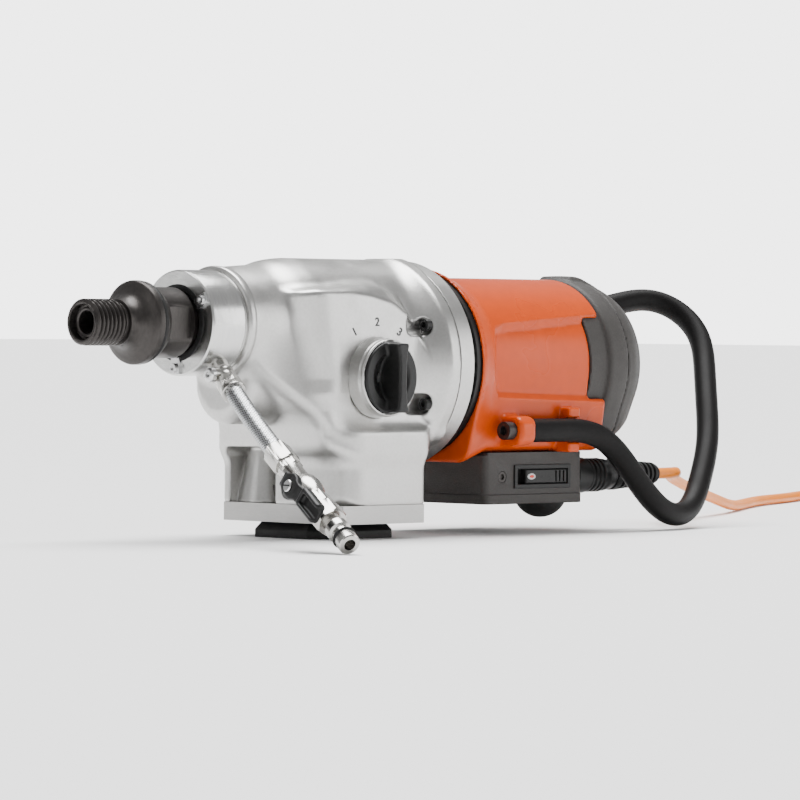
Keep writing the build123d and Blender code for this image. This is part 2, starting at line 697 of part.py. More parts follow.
def make_shift_fork():
    """The fork: a half ring in the sleeve's groove, a slotted plate and a bush on the rail."""
    x = SELECTOR_X
    ring = ring_x((x - 1.9, x + 1.9), 9.9, 13.4, LAYSHAFT)
    ring &= block((x - 3, x + 3), (LAYSHAFT[0] - 20, LAYSHAFT[0] + 1), (70, 130))
    web = block((x - 1.9, x + 1.9), (-37, LAYSHAFT[0] - 11), (92, 106))
    plate = block((x - 8, x + 8), (-38, -34), (92, 130.5))
    bush = rod_x((x - 8, x + 8), 6.4, RAIL)
    fork = ring + (web - rod_x((x - 3, x + 3), 9.9, LAYSHAFT)) + plate + bush
    fork -= rod_x((x - 9, x + 9), RAIL_R + RUNNING_GAP, RAIL)
    return fork - block((x - 2.9, x + 2.9), (-39, -33), (117, 128))


def make_shift_rail():
    return rod_x((-34, 26), RAIL_R, RAIL)


def make_selector_shaft():
    """The dial's shaft with the crank disc and pin that move the fork."""
    shaft = rod_y((-64, -42), SELECTOR_R, SELECTOR_X, SELECTOR_Z)
    disc = rod_y((-43, -39.5), CRANK_R + 3.5, SELECTOR_X, SELECTOR_Z)
    pin = rod_y((-40, -33.2), 2.5, SELECTOR_X, SELECTOR_Z + CRANK_R)
    return shaft + disc + pin


def make_selector_bezel():
    """The raised ring that the dial turns in."""
    front = SEAT_Y - BEZEL_HEIGHT
    bezel = rod_y((front, SEAT_Y), BEZEL_R, SELECTOR_X, SELECTOR_Z)
    bezel = chamfer(bezel.edges().group_by(Axis.Y)[0], 2)
    bezel -= rod_y((front - 1, SEAT_Y - 2), KNOB_R + 0.6, SELECTOR_X, SELECTOR_Z)
    return bezel - rod_y((front, SEAT_Y + 1), SELECTOR_R + 1, SELECTOR_X, SELECTOR_Z)


def make_selector_knob():
    """The dial: a round disc with a bar to grip across it."""
    near = SEAT_Y - BEZEL_HEIGHT - 1.5
    disc = rod_y((near, SEAT_Y - 2.4), KNOB_R, SELECTOR_X, SELECTOR_Z)
    disc = chamfer(disc.edges().group_by(Axis.Y)[0], 1.5)
    bar = block((SELECTOR_X - 6, SELECTOR_X + 6), (near - 12, near), (SELECTOR_Z - 23.5, SELECTOR_Z + 23.5))
    bar = fillet(bar.edges().filter_by(Axis.Y), 5)
    knob = disc + bar
    return knob - rod_y((-64, SEAT_Y), SELECTOR_R, SELECTOR_X, SELECTOR_Z)


# ---------------------------------------------------------------- motor


def make_motor_housing():
    """The moulded motor housing: round above, flat sided below, flared at the front."""
    x0, x1 = MOTOR_X
    z = MOTOR[1]
    outside = loft([casing_section(x0, 52, 50, 69, z), casing_section(x0 + 4, 52, 50, 69, z),
                    casing_section(x0 + 22, 59, 54, MOTOR_R, z), casing_section(x1, 59, 54, MOTOR_R, z)],
                   ruled=True)
    for x_lug, y_side, z_lug in ((LUG_NEAR_X, -1, 75), (LUG_FAR_X, 1, 140)):
        outside += block(x_lug, side_span(y_side, 50, 78.5), (z_lug - 10.5, z_lug + 10.5))
    saddle = block((182, 194), (-61, -50), (60, 90))
    outside += saddle - rod_x((180, 210), HANDLE_R + 0.3, (-68, 75))
    outside -= rod_x((x0 - 1, x1 + 1), MOTOR_R - 4, MOTOR)
    outside -= rod_x((x0 - 1, x0 + 6), 61.2, MOTOR)
    outside -= block((BOX_X[0] + 6, x1 - 30), (-46, 46), (50, 75))
    return screw_holes(outside, handle_bolt_places(), M8_SCREW)


def make_stator():
    """The laminated field ring with its two field windings."""
    ring = ring_x((112, 180), 42, 57.9, MOTOR)
    poles = ring_x((112, 180), 31, 43, MOTOR)
    poles &= block((110, 182), (-60, 60), (MOTOR[1] - 24, MOTOR[1] + 24))
    return ring + poles


def make_armature():
    """The armature: shaft with pinion, and the laminated core."""
    shaft = rod_x((STAGE_1_X[0] - 1, 252), 5, MOTOR) + rod_x((77, 235), 7, MOTOR)
    shaft -= ring_x((STAGE_1_X[0] - 2, STAGE_1_X[1]), 4.1, 6, MOTOR)
    pinion = spur_gear(ARMATURE_PINION, STAGE_1_X, MOTOR, LAYSHAFT)
    core = rod_x((114, 178), 29.5, MOTOR)
    for index in range(12):
        slot = block((113, 179), (24, 30), (-1.5, 1.5))
        core -= Pos(0, *MOTOR) * Rot(index * 30, 0, 0) * slot
    return shaft + pinion + core


def make_commutator():
    """Copper segments round an insulating sleeve."""
    drum = ring_x((188, 212), 7, 17, MOTOR)
    for index in range(24):
        slot = block((189, 213), (15.5, 18), (-0.3, 0.3))
        drum -= Pos(0, *MOTOR) * Rot(index * 15, 0, 0) * slot
    return drum


def make_fan():
    """The radial cooling fan behind the intake."""
    fan = ring_x((92, 95), 7, 50, MOTOR) + ring_x((92, 106), 7, 12, MOTOR)
    for index in range(12):
        blade = Pos(100, 0, 0) * Rot(index * 30, 0, 0) * Pos(0, 31, 0) * Rot(20, 0, 0) * Box(11, 34, 2)
        fan += Pos(0, *MOTOR) * blade
    return fan


def motor_bearing_list():
    pieces = ball_bearing(FLANGE_RING_X[0] + 3, 10, 5 + RUNNING_GAP, 17.5, MOTOR)
    pieces += ball_bearing(238, 9, 5 + RUNNING_GAP, 13, MOTOR)
    return pieces


def make_bearing_bracket():
    """The bracket at the motor's rear: bearing seat and brush ring."""
    bracket = ring_x((222, 226), 20, MOTOR_R - 4, MOTOR) + ring_x((222, 249), 14.5, 20, MOTOR)
    bracket += ring_x((237, 249), 13, 15, MOTOR) + ring_x((247, 249), 8, 15, MOTOR)
    for index in range(6):
        angle = math.radians(index * 60 + 30)
        centre = (MOTOR[0] + 40 * math.cos(angle), MOTOR[1] + 40 * math.sin(angle))
        bracket -= rod_x((220, 228), 10, centre)
    return bracket


def make_brush_holders():
    """Two box shaped brush holders on the bracket."""
    holders = []
    for side in (-1, 1):
        outer = block((193, 222), side_span(side, 19, 50), (MOTOR[1] - 7, MOTOR[1] + 7))
        inner = block((196, 206), side_span(side, 18, 48), (MOTOR[1] - 4, MOTOR[1] + 4))
        holders.append(outer - inner)
    return group(holders)


def make_brushes():
    """Carbon brushes, just clear of the commutator."""
    brushes = []
    for side in (-1, 1):
        brush = block((196, 206), side_span(side, 16.5, 42), (MOTOR[1] - 4, MOTOR[1] + 4))
        brushes.append(brush - rod_x((190, 210), 17.1, MOTOR))
    return group(brushes)


def make_rear_cover():
    """The moulded cover over the bearing bracket, with air slots."""
    x0, x1 = COVER_X
    z = MOTOR[1]
    cover = loft([casing_section(x0 + 5, 66, 46, 63, z), casing_section(x0 + 20, 67, 46, 62.5, z),
                  casing_section(x0 + 36, 71, 42, 58.5, z), casing_section(x1, 76, 38, 53, z)], ruled=True)
    cover += rod_x((x0, x0 + 6), MOTOR_R - 4.2, MOTOR)
    cover -= rod_x((x0 - 1, x0 + 22), 54, MOTOR)
    cover -= rod_x((x0 + 21, x1 - 5), 42, MOTOR)
    for index in range(5):
        height = z - 24 + index * 9
        cover -= block((x0 + 8, x0 + 19), (-70, -50), (height, height + 4))
        cover -= block((x0 + 8, x0 + 19), (50, 70), (height, height + 4))
    return screw_holes(cover, cover_screw_places(), COVER_SCREW, counterbore=20)


def cover_screw_places():
    places = []
    for angle in (55, 125, 235, 305):
        spot = math.radians(angle)
        y = MOTOR[0] + 45 * math.cos(spot)
        z = MOTOR[1] + 45 * math.sin(spot)
        places.append(Pos(COVER_X[1] - 8, y, z) * Rot(0, 90, 0))
    return places


# ---------------------------------------------------------------- handle


def make_handle_tube():
    """The hoop handle, from the near side round the motor's rear to the far side."""
    path = FilletPolyline(*HANDLE_ROUTE, radius=HANDLE_RADII)
    start = Plane(origin=path @ 0, z_dir=path % 0)
    tube = sweep(start * Circle(HANDLE_R), path=path)
    return screw_holes(tube, handle_bolt_places(), M8_SCREW)


def handle_bolt_places():
    """Bolts through the lugs into the ends of the handle."""
    ends = ((LUG_NEAR_X, HANDLE_ROUTE[0]), (LUG_FAR_X, HANDLE_ROUTE[-1]))
    return [Pos(lug[0], end[1], end[2]) * Rot(0, -90, 0) for lug, end in ends]


# ---------------------------------------------------------------- control box


def make_control_box():
    """The box under the motor that holds the switch and the electronics."""
    x0, x1 = BOX_X
    box = block(BOX_X, (-55, 55), (29, 59))
    box = fillet(box.edges().filter_by(Axis.Z), 5)
    box -= block((x0 + 4, x1 - 4), (-51, 51), (28, 60))
    box -= block((137, 196), (-56, -50), (33, 50))
    box -= rod_x((x1 - 5, x1 + 1), 9, GLAND)
    housing_seat = block((x0 - 1, MOTOR_X[0] + 22), (-60, 60), (57, 60))
    for side in (-1, 1):
        box += block((120, 130), side_span(side, 41, 52), (29, 56))
    box -= housing_seat
    return screw_holes(box, box_screw_places(), BOX_SCREW, counterbore=4)


def box_screw_places():
    """One sunk screw in each long side of the box."""
    return [Pos(125, side * 52.4, 41.5) * Rot(-side * 90, 0, 0) for side in (-1, 1)]


def make_control_box_lid():
    """The flanged lid that closes the box from below."""
    x0, x1 = BOX_X
    lid = block((x0, x1), (-55.8, 55.8), (22, 29))
    lid = fillet(lid.edges().filter_by(Axis.Z), 5)
    return lid - block((x0 + 5, x1 - 5), (-50, 50), (25, 30))


def make_rear_foot():
    """The low domed foot under the lid, on the switch side."""
    dome = Pos(185, -36, 31) * Sphere(20)
    return dome & block((160, 210), (-60, -10), (10, 22))


def make_switch_frame():
    """The frame that the switch slides in."""
    frame = block((137, 196), (-56.2, -48), (33, 50))
    frame -= block((140, 193), (-57, -50), (36, 47))
    return frame


def make_switch_slider():
    """The ribbed thumb slide."""
    slider = block((149.5, 192.5), (-55.6, -50.2), (36.3, 46.7))
    slider = chamfer(slider.edges().group_by(Axis.Y)[0], 0.8)
    for x in (180, 184, 188):
        slider -= block((x, x + 1.6), (-56, -54.6), (37.5, 45.5))
    return slider


def make_circuit_board():
    """The speed control board and its parts."""
    board = block((118, 198), (-30, 40), (32, 33.6))
    board += block((130, 150), (-10, 12), (33.6, 46))
    board += block((160, 185), (0, 30), (33.6, 41))
    board += rod_z((33.6, 50), 6, 125, 28)
    return board


# ---------------------------------------------------------------- power cord


def make_cable_gland():
    """The gland nut in the box's rear wall."""
    x0, x1 = GLAND_X
    gland = rod_x((x0 - 8, x0), 8.9, GLAND) + rod_x((x0, x0 + 14), 13, GLAND)
    gland += turned([(x0 + 14, 0), (x0 + 14, 12), (x0 + 34, 11.6), (x1, 10.5), (x1, 0)], GLAND)
    for x in range(4):
        gland -= ring_x((x0 + 17 + x * 4, x0 + 19 + x * 4), 10.8, 14, GLAND)
    return gland - rod_x((x0 - 9, x1 + 1), CABLE_R, GLAND)


def make_strain_relief():
    """The tapered rubber sleeve that the cable leaves through."""
    x0, x1 = RELIEF_X
    sleeve = turned([(x0, 0), (x0, 11.4), (x0 + 6, 11.4), (x1 - 4, 8.6), (x1, 7.4), (x1, 0)], GLAND)
    return sleeve - rod_x((x0 - 1, x1), CABLE_R, GLAND)


def route_radii(points):
    """The largest tangent radii for a route: 0.45 of the shorter run over tan(half the turn)."""
    radii = []
    for a, b, c in zip(points, points[1:], points[2:]):
        run_in, run_out = Vector(b) - Vector(a), Vector(c) - Vector(b)
        turn = math.radians(run_in.get_angle(run_out))
        radii.append(0.45 * min(run_in.length, run_out.length) / math.tan(turn / 2))
    return radii


def make_power_cable():
    """The cable's stretch from the sleeve to the coil."""
    radii = route_radii(CABLE_ROUTE)
    path = FilletPolyline(*CABLE_ROUTE, radius=radii)
    start = Plane(origin=path @ 0, z_dir=path % 0)
    cable = sweep(start * Circle(CABLE_R), path=path)
    section = math.pi * CABLE_R ** 2
    print("cable radii", [round(r) for r in radii], "length", round(path.length, 1))
    print("cable volume ratio", round(cable.volume / (section * path.length), 4))
    return cable


def make_cable_coil():
    """The outer shape of the coil that the rest of the cable is wound into."""
    inner, outer = COIL_MEAN_R - COIL_HALF_WIDTH, COIL_MEAN_R + COIL_HALF_WIDTH
    coil = rod_z((0.2, COIL_HEIGHT), outer, *COIL_CENTRE) - rod_z((-1, COIL_HEIGHT + 1), inner, *COIL_CENTRE)
    return fillet(coil.edges().filter_by(GeomType.CIRCLE), 4)


def make_power_plug():
    """A two-pin earthed mains plug beside the coil's rim, with its pins."""
    rear = COIL_CENTRE[0] - 6
    axis = (COIL_CENTRE[1] - COIL_MEAN_R - COIL_HALF_WIDTH - PLUG_GAP - 20, 19.0)
    face = rear - PLUG_LENGTH
    body = turned([(rear, 0), (rear, 6), (rear - 16, 9), (rear - 20, 18.5), (face, 18.5), (face, 0)], axis)
    pins = [rod_x((face - 19, face), 2.4, (axis[0] + dy, axis[1])) for dy in (-9.5, 9.5)]
    return group([body] + pins)


NODES = {
    "spindle": make_spindle,
    "spindle_ring": make_spindle_ring,
    "water_collar": make_water_collar,
    "collar_seals": make_collar_seals,
    "seal_clips": make_seal_clips,
    "collar_screws": lambda: screws(clip_screw_places(), CLIP_SCREW),
    "water_elbow": make_water_elbow,
    "elbow_plug": make_elbow_plug,
    "hose_ferrules": make_hose_ferrules,
    "water_hose": make_water_hose,
    "valve_body": make_valve_body,
    "valve_ball": make_valve_ball,
    "valve_lever": make_valve_lever,
    "lever_screw": make_lever_screw,
    "hose_nipple": make_hose_nipple,
    "nipple_seal": make_nipple_seal,
    "gear_housing": make_gear_housing,
    "base_plate": make_base_plate,
    "m8_screws": lambda: screws(base_bolt_places() + handle_bolt_places(), M8_SCREW),
    "mounting_shoe": make_mounting_shoe,
    "intermediate_flange": make_intermediate_flange,
    "flange_bolts": lambda: screws(flange_bolt_places(), FLANGE_SCREW),
    "intake_ring": make_intake_ring,
    "gearbox_bearings": lambda: group(gearbox_bearing_list()),
    "layshaft": make_layshaft,
    "layshaft_gear": make_layshaft_gear,
    "countershaft": make_countershaft,
    "countershaft_gear": make_countershaft_gear,
    "clutch_springs": make_clutch_springs,
    "output_gear": make_output_gear,
    "shift_sleeve": make_shift_sleeve,
    "shift_fork": make_shift_fork,
    "shift_rail": make_shift_rail,
    "selector_shaft": make_selector_shaft,
    "selector_bezel": make_selector_bezel,
    "selector_knob": make_selector_knob,
    "motor_housing": make_motor_housing,
    "stator": make_stator,
    "armature": make_armature,
    "commutator": make_commutator,
    "fan": make_fan,
    "motor_bearings": lambda: group(motor_bearing_list()),
    "bearing_bracket": make_bearing_bracket,
    "brush_holders": make_brush_holders,
    "brushes": make_brushes,
    "rear_cover": make_rear_cover,
    "rear_cover_screws": lambda: screws(cover_screw_places(), COVER_SCREW),
    "handle_tube": make_handle_tube,
    "control_box": make_control_box,
    "control_box_lid": make_control_box_lid,
    "control_box_screws": lambda: screws(box_screw_places(), BOX_SCREW),
    "rear_foot": make_rear_foot,
    "switch_frame": make_switch_frame,
    "switch_slider": make_switch_slider,
    "circuit_board": make_circuit_board,
    "cable_gland": make_cable_gland,
    "strain_relief": make_strain_relief,
    "power_cable": make_power_cable,
    "cable_coil": make_cable_coil,
    "power_plug": make_power_plug,
}

os.makedirs("parts", exist_ok=True)
for name, make in NODES.items():
    export_step(make(), f"parts/{name}.step")
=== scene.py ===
"""Core drill motor: the visual model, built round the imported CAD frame."""
import json
import math

import bpy
import numpy as np
from mathutils import Matrix, Quaternion, Vector


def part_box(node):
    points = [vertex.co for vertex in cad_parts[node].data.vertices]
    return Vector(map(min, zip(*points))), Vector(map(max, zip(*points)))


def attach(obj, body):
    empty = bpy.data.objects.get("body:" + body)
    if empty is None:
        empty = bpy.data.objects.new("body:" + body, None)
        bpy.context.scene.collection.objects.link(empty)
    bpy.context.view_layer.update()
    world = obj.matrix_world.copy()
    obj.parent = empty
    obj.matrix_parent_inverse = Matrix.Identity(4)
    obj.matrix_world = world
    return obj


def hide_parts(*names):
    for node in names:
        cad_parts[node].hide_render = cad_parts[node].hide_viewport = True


# The shapes are worked out in millimetres, as on a drawing, and put into the scene in metres.
MM = 0.001

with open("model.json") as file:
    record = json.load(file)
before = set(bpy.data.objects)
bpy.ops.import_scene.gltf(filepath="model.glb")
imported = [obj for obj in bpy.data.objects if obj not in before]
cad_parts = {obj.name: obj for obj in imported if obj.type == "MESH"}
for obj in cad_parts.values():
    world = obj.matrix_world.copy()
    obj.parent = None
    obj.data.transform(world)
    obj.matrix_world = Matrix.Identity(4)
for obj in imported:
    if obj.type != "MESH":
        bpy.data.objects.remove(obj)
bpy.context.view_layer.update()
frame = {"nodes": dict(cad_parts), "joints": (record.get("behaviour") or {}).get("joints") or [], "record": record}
nodes = frame["nodes"]


def box_mm(node):
    """A CAD node's lowest and highest corners, in millimetres."""
    low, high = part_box(node)
    return low / MM, high / MM


def hinge(name):
    """The place in millimetres and the axis of a joint."""
    joint = next(j for j in frame["joints"] if j["name"] == name)
    return Vector(joint["pos_m"]) / MM, Vector(joint["axis"]).normalized()


def placed(name, data):
    """A new object in the scene."""
    thing = bpy.data.objects.new(name, data)
    bpy.context.collection.objects.link(thing)
    return thing


def feed(node, values):
    """Sets a shader node's inputs by name."""
    for name, value in values.items():
        node.inputs[name].default_value = value


SPINDLE = hinge("spindle_spin")[0].yz
MOTOR = hinge("motor_spin")[0].yz
DIAL = hinge("selector_turn")[0].xz

# -------------------- camera, floor and lights

VIEW_FROM = (-2.4726, -2.5134, 0.150)
VIEW_DIRECTION = Vector((0.7119, 0.7021, -0.01508))
VIEW_ROLL = 0.008
LENS_MM = 225
SENSOR_MM = 36
FAR_AWAY = 50

AIM_OF_LIGHTS = (0.05, 0, 0.12)
SKY_ENERGY = 7.5
SKY_SPREAD_DEG = 50
SKY_TURN = (-0.15, 0.15, 0)
ROOM_GLOW = 0.45
HORIZON_GLOW = 4.2
FLOOR_SIZE = 60


def make_camera():
    data = bpy.data.cameras.new("camera")
    data.sensor_width = SENSOR_MM
    data.lens = LENS_MM
    data.clip_end = FAR_AWAY
    camera = placed("camera", data)
    camera.location = VIEW_FROM
    aim = VIEW_DIRECTION.to_track_quat("-Z", "Y")
    camera.rotation_mode = "QUATERNION"
    camera.rotation_quaternion = aim @ Quaternion((0, 0, 1), VIEW_ROLL)
    bpy.context.scene.camera = camera


def make_light(name, place, size, power):
    """A soft rectangular light that faces the machine."""
    data = bpy.data.lights.new(name, "AREA")
    data.shape = "RECTANGLE"
    data.size, data.size_y = size
    data.energy = power
    light = placed(name, data)
    light.location = place
    light.rotation_euler = (Vector(AIM_OF_LIGHTS) - Vector(place)).to_track_quat("-Z", "Y").to_euler()


def make_sky():
    """A dim room with a bright band along the horizon behind the machine."""
    world = bpy.data.worlds.new("studio")
    world.use_nodes = True
    tree = world.node_tree
    place = tree.nodes.new("ShaderNodeTexCoord")

    def ramp(direction, start, end):
        """From 0 to 1 as the sky turns toward a direction."""
        dot = tree.nodes.new("ShaderNodeVectorMath")
        dot.operation = "DOT_PRODUCT"
        dot.inputs[1].default_value = direction
        tree.links.new(place.outputs["Generated"], dot.inputs[0])
        share = tree.nodes.new("ShaderNodeMapRange")
        share.interpolation_type = "SMOOTHSTEP"
        feed(share, {"From Min": start, "From Max": end})
        tree.links.new(dot.outputs["Value"], share.inputs["Value"])
        return share.outputs["Result"]

    band = tree.nodes.new("ShaderNodeMath")
    band.operation = "MULTIPLY"
    tree.links.new(ramp((0.712, 0.702, 0), 0.5, 0.9), band.inputs[0])
    tree.links.new(ramp((0, 0, 1), 0.20, 0.07), band.inputs[1])
    strength = tree.nodes.new("ShaderNodeMapRange")
    feed(strength, {"To Min": ROOM_GLOW, "To Max": HORIZON_GLOW})
    tree.links.new(band.outputs["Value"], strength.inputs["Value"])
    tree.links.new(strength.outputs["Result"], tree.nodes["Background"].inputs["Strength"])
    feed(tree.nodes["Background"], {"Color": (1, 1, 1, 1)})
    return world


def make_studio():
    """Two soft lights, an overhead skylight and the pale floor."""
    make_light("side_key", (1.4, -1.6, 0.6), (1.2, 1.0), 13)
    make_light("front_fill", (-1.9, 0.5, 0.9), (0.8, 0.8), 3)
    data = bpy.data.lights.new("skylight", "SUN")
    data.energy = SKY_ENERGY
    data.angle = math.radians(SKY_SPREAD_DEG)
    placed("skylight", data).rotation_euler = SKY_TURN
    bpy.context.scene.world = make_sky()
    bpy.ops.mesh.primitive_plane_add(size=FLOOR_SIZE, location=(0, 0, 0))
    floor = bpy.context.object
    floor.name = "floor"
    floor.data.materials.append(finish("floor_paint", (0.90, 0.90, 0.90), 0.9, speckle=0))


# -------------------- materials


RELIEF_DEPTH = 0.0004
SMUDGE_SCALE = 0.13
MOULDED = 0.25


def finish(name, colour, rough, metal=0.0, speckle=0.08, grain=(1, 1, 1), scale=300, bump=0.0,
           bump_scale=900, shine=0.5, smudge=0.08):
    """A procedural surface: uneven colour, smudged gloss and a fine relief."""
    material = bpy.data.materials.new(name)
    material.use_nodes = True
    tree = material.node_tree
    shader = tree.nodes["Principled BSDF"]
    feed(shader, {"Base Color": (*colour, 1), "Roughness": rough, "Metallic": metal, "Specular IOR Level": shine})
    if not speckle:
        return material
    place = tree.nodes.new("ShaderNodeTexCoord")
    stretch = tree.nodes.new("ShaderNodeMapping")
    feed(stretch, {"Scale": grain})
    tree.links.new(place.outputs["Object"], stretch.inputs["Vector"])

    def noise(noise_scale, detail):
        node = tree.nodes.new("ShaderNodeTexNoise")
        feed(node, {"Scale": noise_scale, "Detail": detail})
        tree.links.new(stretch.outputs["Vector"], node.inputs["Vector"])
        return node.outputs["Fac"]

    def spread(source, low, high):
        node = tree.nodes.new("ShaderNodeMapRange")
        feed(node, {"From Min": 0.3, "From Max": 0.7, "To Min": low, "To Max": high})
        tree.links.new(source, node.inputs["Value"])
        return node.outputs["Result"]

    tint = tree.nodes.new("ShaderNodeMix")
    tint.data_type = "RGBA"
    darker, lighter = [c * (1 - speckle) for c in colour], [min(1, c * (1 + speckle)) for c in colour]
    feed(tint, {"A": (*darker, 1), "B": (*lighter, 1)})
    tree.links.new(spread(noise(scale, 4), 0, 1), tint.inputs["Factor"])
    tree.links.new(tint.outputs["Result"], shader.inputs["Base Color"])
    gloss = spread(noise(scale * SMUDGE_SCALE, 3), rough - smudge / 2, rough + smudge / 2)
    tree.links.new(gloss, shader.inputs["Roughness"])
    if bump:
        relief = tree.nodes.new("ShaderNodeBump")
        feed(relief, {"Strength": bump, "Distance": RELIEF_DEPTH})
        tree.links.new(noise(bump_scale, 2), relief.inputs["Height"])
        tree.links.new(relief.outputs["Normal"], shader.inputs["Normal"])
    return material


FINISHES = {
    "cast": finish("cast_silver", (0.51, 0.506, 0.494), 0.34, 1.0, 0.05, scale=500, bump=0.2, bump_scale=1400),
    "machined": finish("machined_aluminium", (0.60, 0.60, 0.59), 0.22, 1.0, 0.08, (9, 0.4, 0.4), 260, 0.12, 600),
    "plate": finish("milled_plate", (0.44, 0.435, 0.425), 0.36, 0.85, 0.06, (1, 1, 9), 200, 0.15, 500),
    "steel": finish("bright_steel", (0.62, 0.62, 0.62), 0.28, 1.0, 0.08, scale=400),
    "dark_steel": finish("blackened_steel", (0.042, 0.038, 0.036), 0.36, 0.75, 0.12, (3, 1, 1), 260, 0.1, 700),
    "chrome": finish("nickel_plate", (0.46, 0.45, 0.43), 0.20, 1.0, 0.05, scale=300),
    "orange": finish("orange_moulding", (0.52, 0.055, 0.001), 0.30, 0.0, 0.04, scale=120, bump=0.04,
                     bump_scale=700, shine=MOULDED),
    "grey": finish("grey_moulding", (0.040, 0.037, 0.035), 0.52, 0.0, 0.10, scale=700, bump=0.5,
                   bump_scale=1500, shine=MOULDED),
    "black": finish("black_moulding", (0.010, 0.010, 0.010), 0.40, 0.0, 0.2, scale=500, bump=0.2,
                    bump_scale=1200, shine=MOULDED),
    "knob": finish("dial_moulding", (0.010, 0.010, 0.010), 0.36, 0.0, 0.2, scale=500, bump=0.25,
                   bump_scale=1500, shine=MOULDED),
    "rubber": finish("black_rubber", (0.010, 0.010, 0.010), 0.55, 0.0, 0.2, scale=400, bump=0.3,
                     bump_scale=1000, shine=MOULDED),
    "grip": finish("grip_rubber", (0.005, 0.0045, 0.0045), 0.50, 0.0, 0.15, scale=300, bump=0.2,
                   bump_scale=1300, shine=0.10),
    "cable": finish("cable_jacket", (0.74, 0.20, 0.006), 0.45, 0.0, 0.06, scale=250, bump=0.15, bump_scale=900),
    "wire": finish("braid_wire", (0.52, 0.53, 0.54), 0.32, 1.0, 0.12, scale=900),
    "brass": finish("brass", (0.60, 0.42, 0.16), 0.30, 1.0, 0.10, scale=300),
    "gear": finish("ground_steel", (0.42, 0.42, 0.43), 0.30, 1.0, 0.15, (4, 1, 1), 250),
    "copper": finish("copper", (0.72, 0.33, 0.18), 0.30, 1.0, 0.12, scale=300),
    "board": finish("circuit_board", (0.02, 0.16, 0.06), 0.40, 0.0, 0.2, scale=500),
    "carbon": finish("pressed_carbon", (0.03, 0.03, 0.03), 0.6, 0.0, 0.2, scale=700, bump=0.3),
    "red": finish("red_mark", (0.60, 0.03, 0.01), 0.4, 0.0, 0.05, scale=300),
    "light_grey": finish("printed_mark", (0.50, 0.50, 0.50), 0.5, 0.0, 0.05, scale=300),
    "ink": finish("numeral_ink", (0.05, 0.05, 0.05), 0.5, 0.0, 0.1, scale=300),
}

# -------------------- mesh tools


def add_piece(name, points, faces, surface, body, slot, replaces=(), sharp=35):
    """A mesh piece from points in millimetres, shaded smooth except at its sharp edges."""
    mesh = bpy.data.meshes.new(name)
    mesh.from_pydata(np.asarray(points, float) * MM, [], [tuple(int(i) for i in f) for f in faces])
    mesh.validate()
    piece = placed(name, mesh)
    finish_piece(piece, surface, body, replaces, sharp)
    return piece


def finish_piece(piece, surface, body, replaces, sharp, bevel=0.0):
    """A piece's material, shading and bevel, and what it rides on and stands for."""
    mesh = piece.data
    mesh.materials.clear()
    mesh.materials.append(FINISHES[surface])
    mesh.shade_smooth()
    mesh.set_sharp_from_angle(angle=math.radians(sharp))
    if bevel:
        edge = piece.modifiers.new("edges", "BEVEL")
        edge.width = bevel * MM
        edge.segments = 2
        edge.limit_method = "ANGLE"
        edge.angle_limit = math.radians(sharp)
        edge.harden_normals = True
    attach(piece, body)
    if replaces:
        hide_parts(*replaces)


WELD_DISTANCE = 1e-6
FLAT_WITHIN_DEG = 1.0


def rounded_copy(node, surface, body, width):
    """A CAD node's shape with its flat faces joined up and its edges eased."""
    piece = placed(node + "_eased", nodes[node].data.copy())
    weld = piece.modifiers.new("weld", "WELD")
    weld.merge_threshold = WELD_DISTANCE
    plain = piece.modifiers.new("plain", "DECIMATE")
    plain.decimate_type = "DISSOLVE"
    plain.angle_limit = math.radians(FLAT_WITHIN_DEG)
    depsgraph = bpy.context.evaluated_depsgraph_get()
    clean = bpy.data.meshes.new_from_object(piece.evaluated_get(depsgraph))
    piece.modifiers.clear()
    piece.data = clean
    finish_piece(piece, surface, body, (node,), 32, width)


def along(axis, origin):
    """A frame whose Z runs along the axis."""
    turn = Vector(axis).to_track_quat("Z", "Y").to_matrix().to_4x4()
    return Matrix.Translation(Vector(origin)) @ turn


def about_x(centre):
    """A frame whose Z runs along X, through a centre given as (y, z)."""
    return Matrix(((0, 0, 1, 0), (1, 0, 0, centre[0]), (0, 1, 0, centre[1]), (0, 0, 0, 1)))


def moved(part, matrix):
    points, faces = part
    rows = np.array(matrix)
    return np.asarray(points) @ rows[:3, :3].T + rows[:3, 3], faces


def joined(*parts):
    points, faces, start = [], [], 0
    for part_points, part_faces in parts:
        points.append(np.asarray(part_points, float))
        faces += [tuple(int(i) + start for i in face) for face in part_faces]
        start += len(part_points)
    return np.concatenate(points), faces


def wall(rows, steps, closed=False):
    """The faces between rings of points, one ring after another."""
    faces = []
    for i in range(rows if closed else rows - 1):
        j = (i + 1) % rows
        for k in range(steps):
            m = (k + 1) % steps
            faces.append((i * steps + k, i * steps + m, j * steps + m, j * steps + k))
    return faces


def caps(rows, steps):
    """The faces that close the first and the last ring."""
    return [tuple(reversed(range(steps))), tuple(range((rows - 1) * steps, rows * steps))]


def turned(profile, closed=False, steps=96, capped=True):
    """A shape turned about Z from (z, radius) points; a closed profile makes a ring."""
    angles = np.arange(steps) * 2 * math.pi / steps
    points = [(r * math.cos(a), r * math.sin(a), z) for z, r in profile for a in angles]
    faces = wall(len(profile), steps, closed)
    if capped and not closed:
        faces += caps(len(profile), steps)
    return points, faces


def hexagon(across, low, high, ease=0.9):
    """A hexagonal nut body along Z with its ends chamfered round."""
    rim = across / 2 * 1.02
    corner = across / math.sqrt(3)
    points, steps = [], 48
    rings = ((low, rim), (low + ease, corner), (high - ease, corner), (high, rim))
    for z, limit in rings:
        for k in range(steps):
            a = 2 * math.pi * k / steps
            flat = across / 2 / math.cos((a + math.pi / 6) % (math.pi / 3) - math.pi / 6)
            r = min(flat, limit)
            points.append((r * math.cos(a), r * math.sin(a), z))
    return points, wall(len(rings), steps) + caps(len(rings), steps)


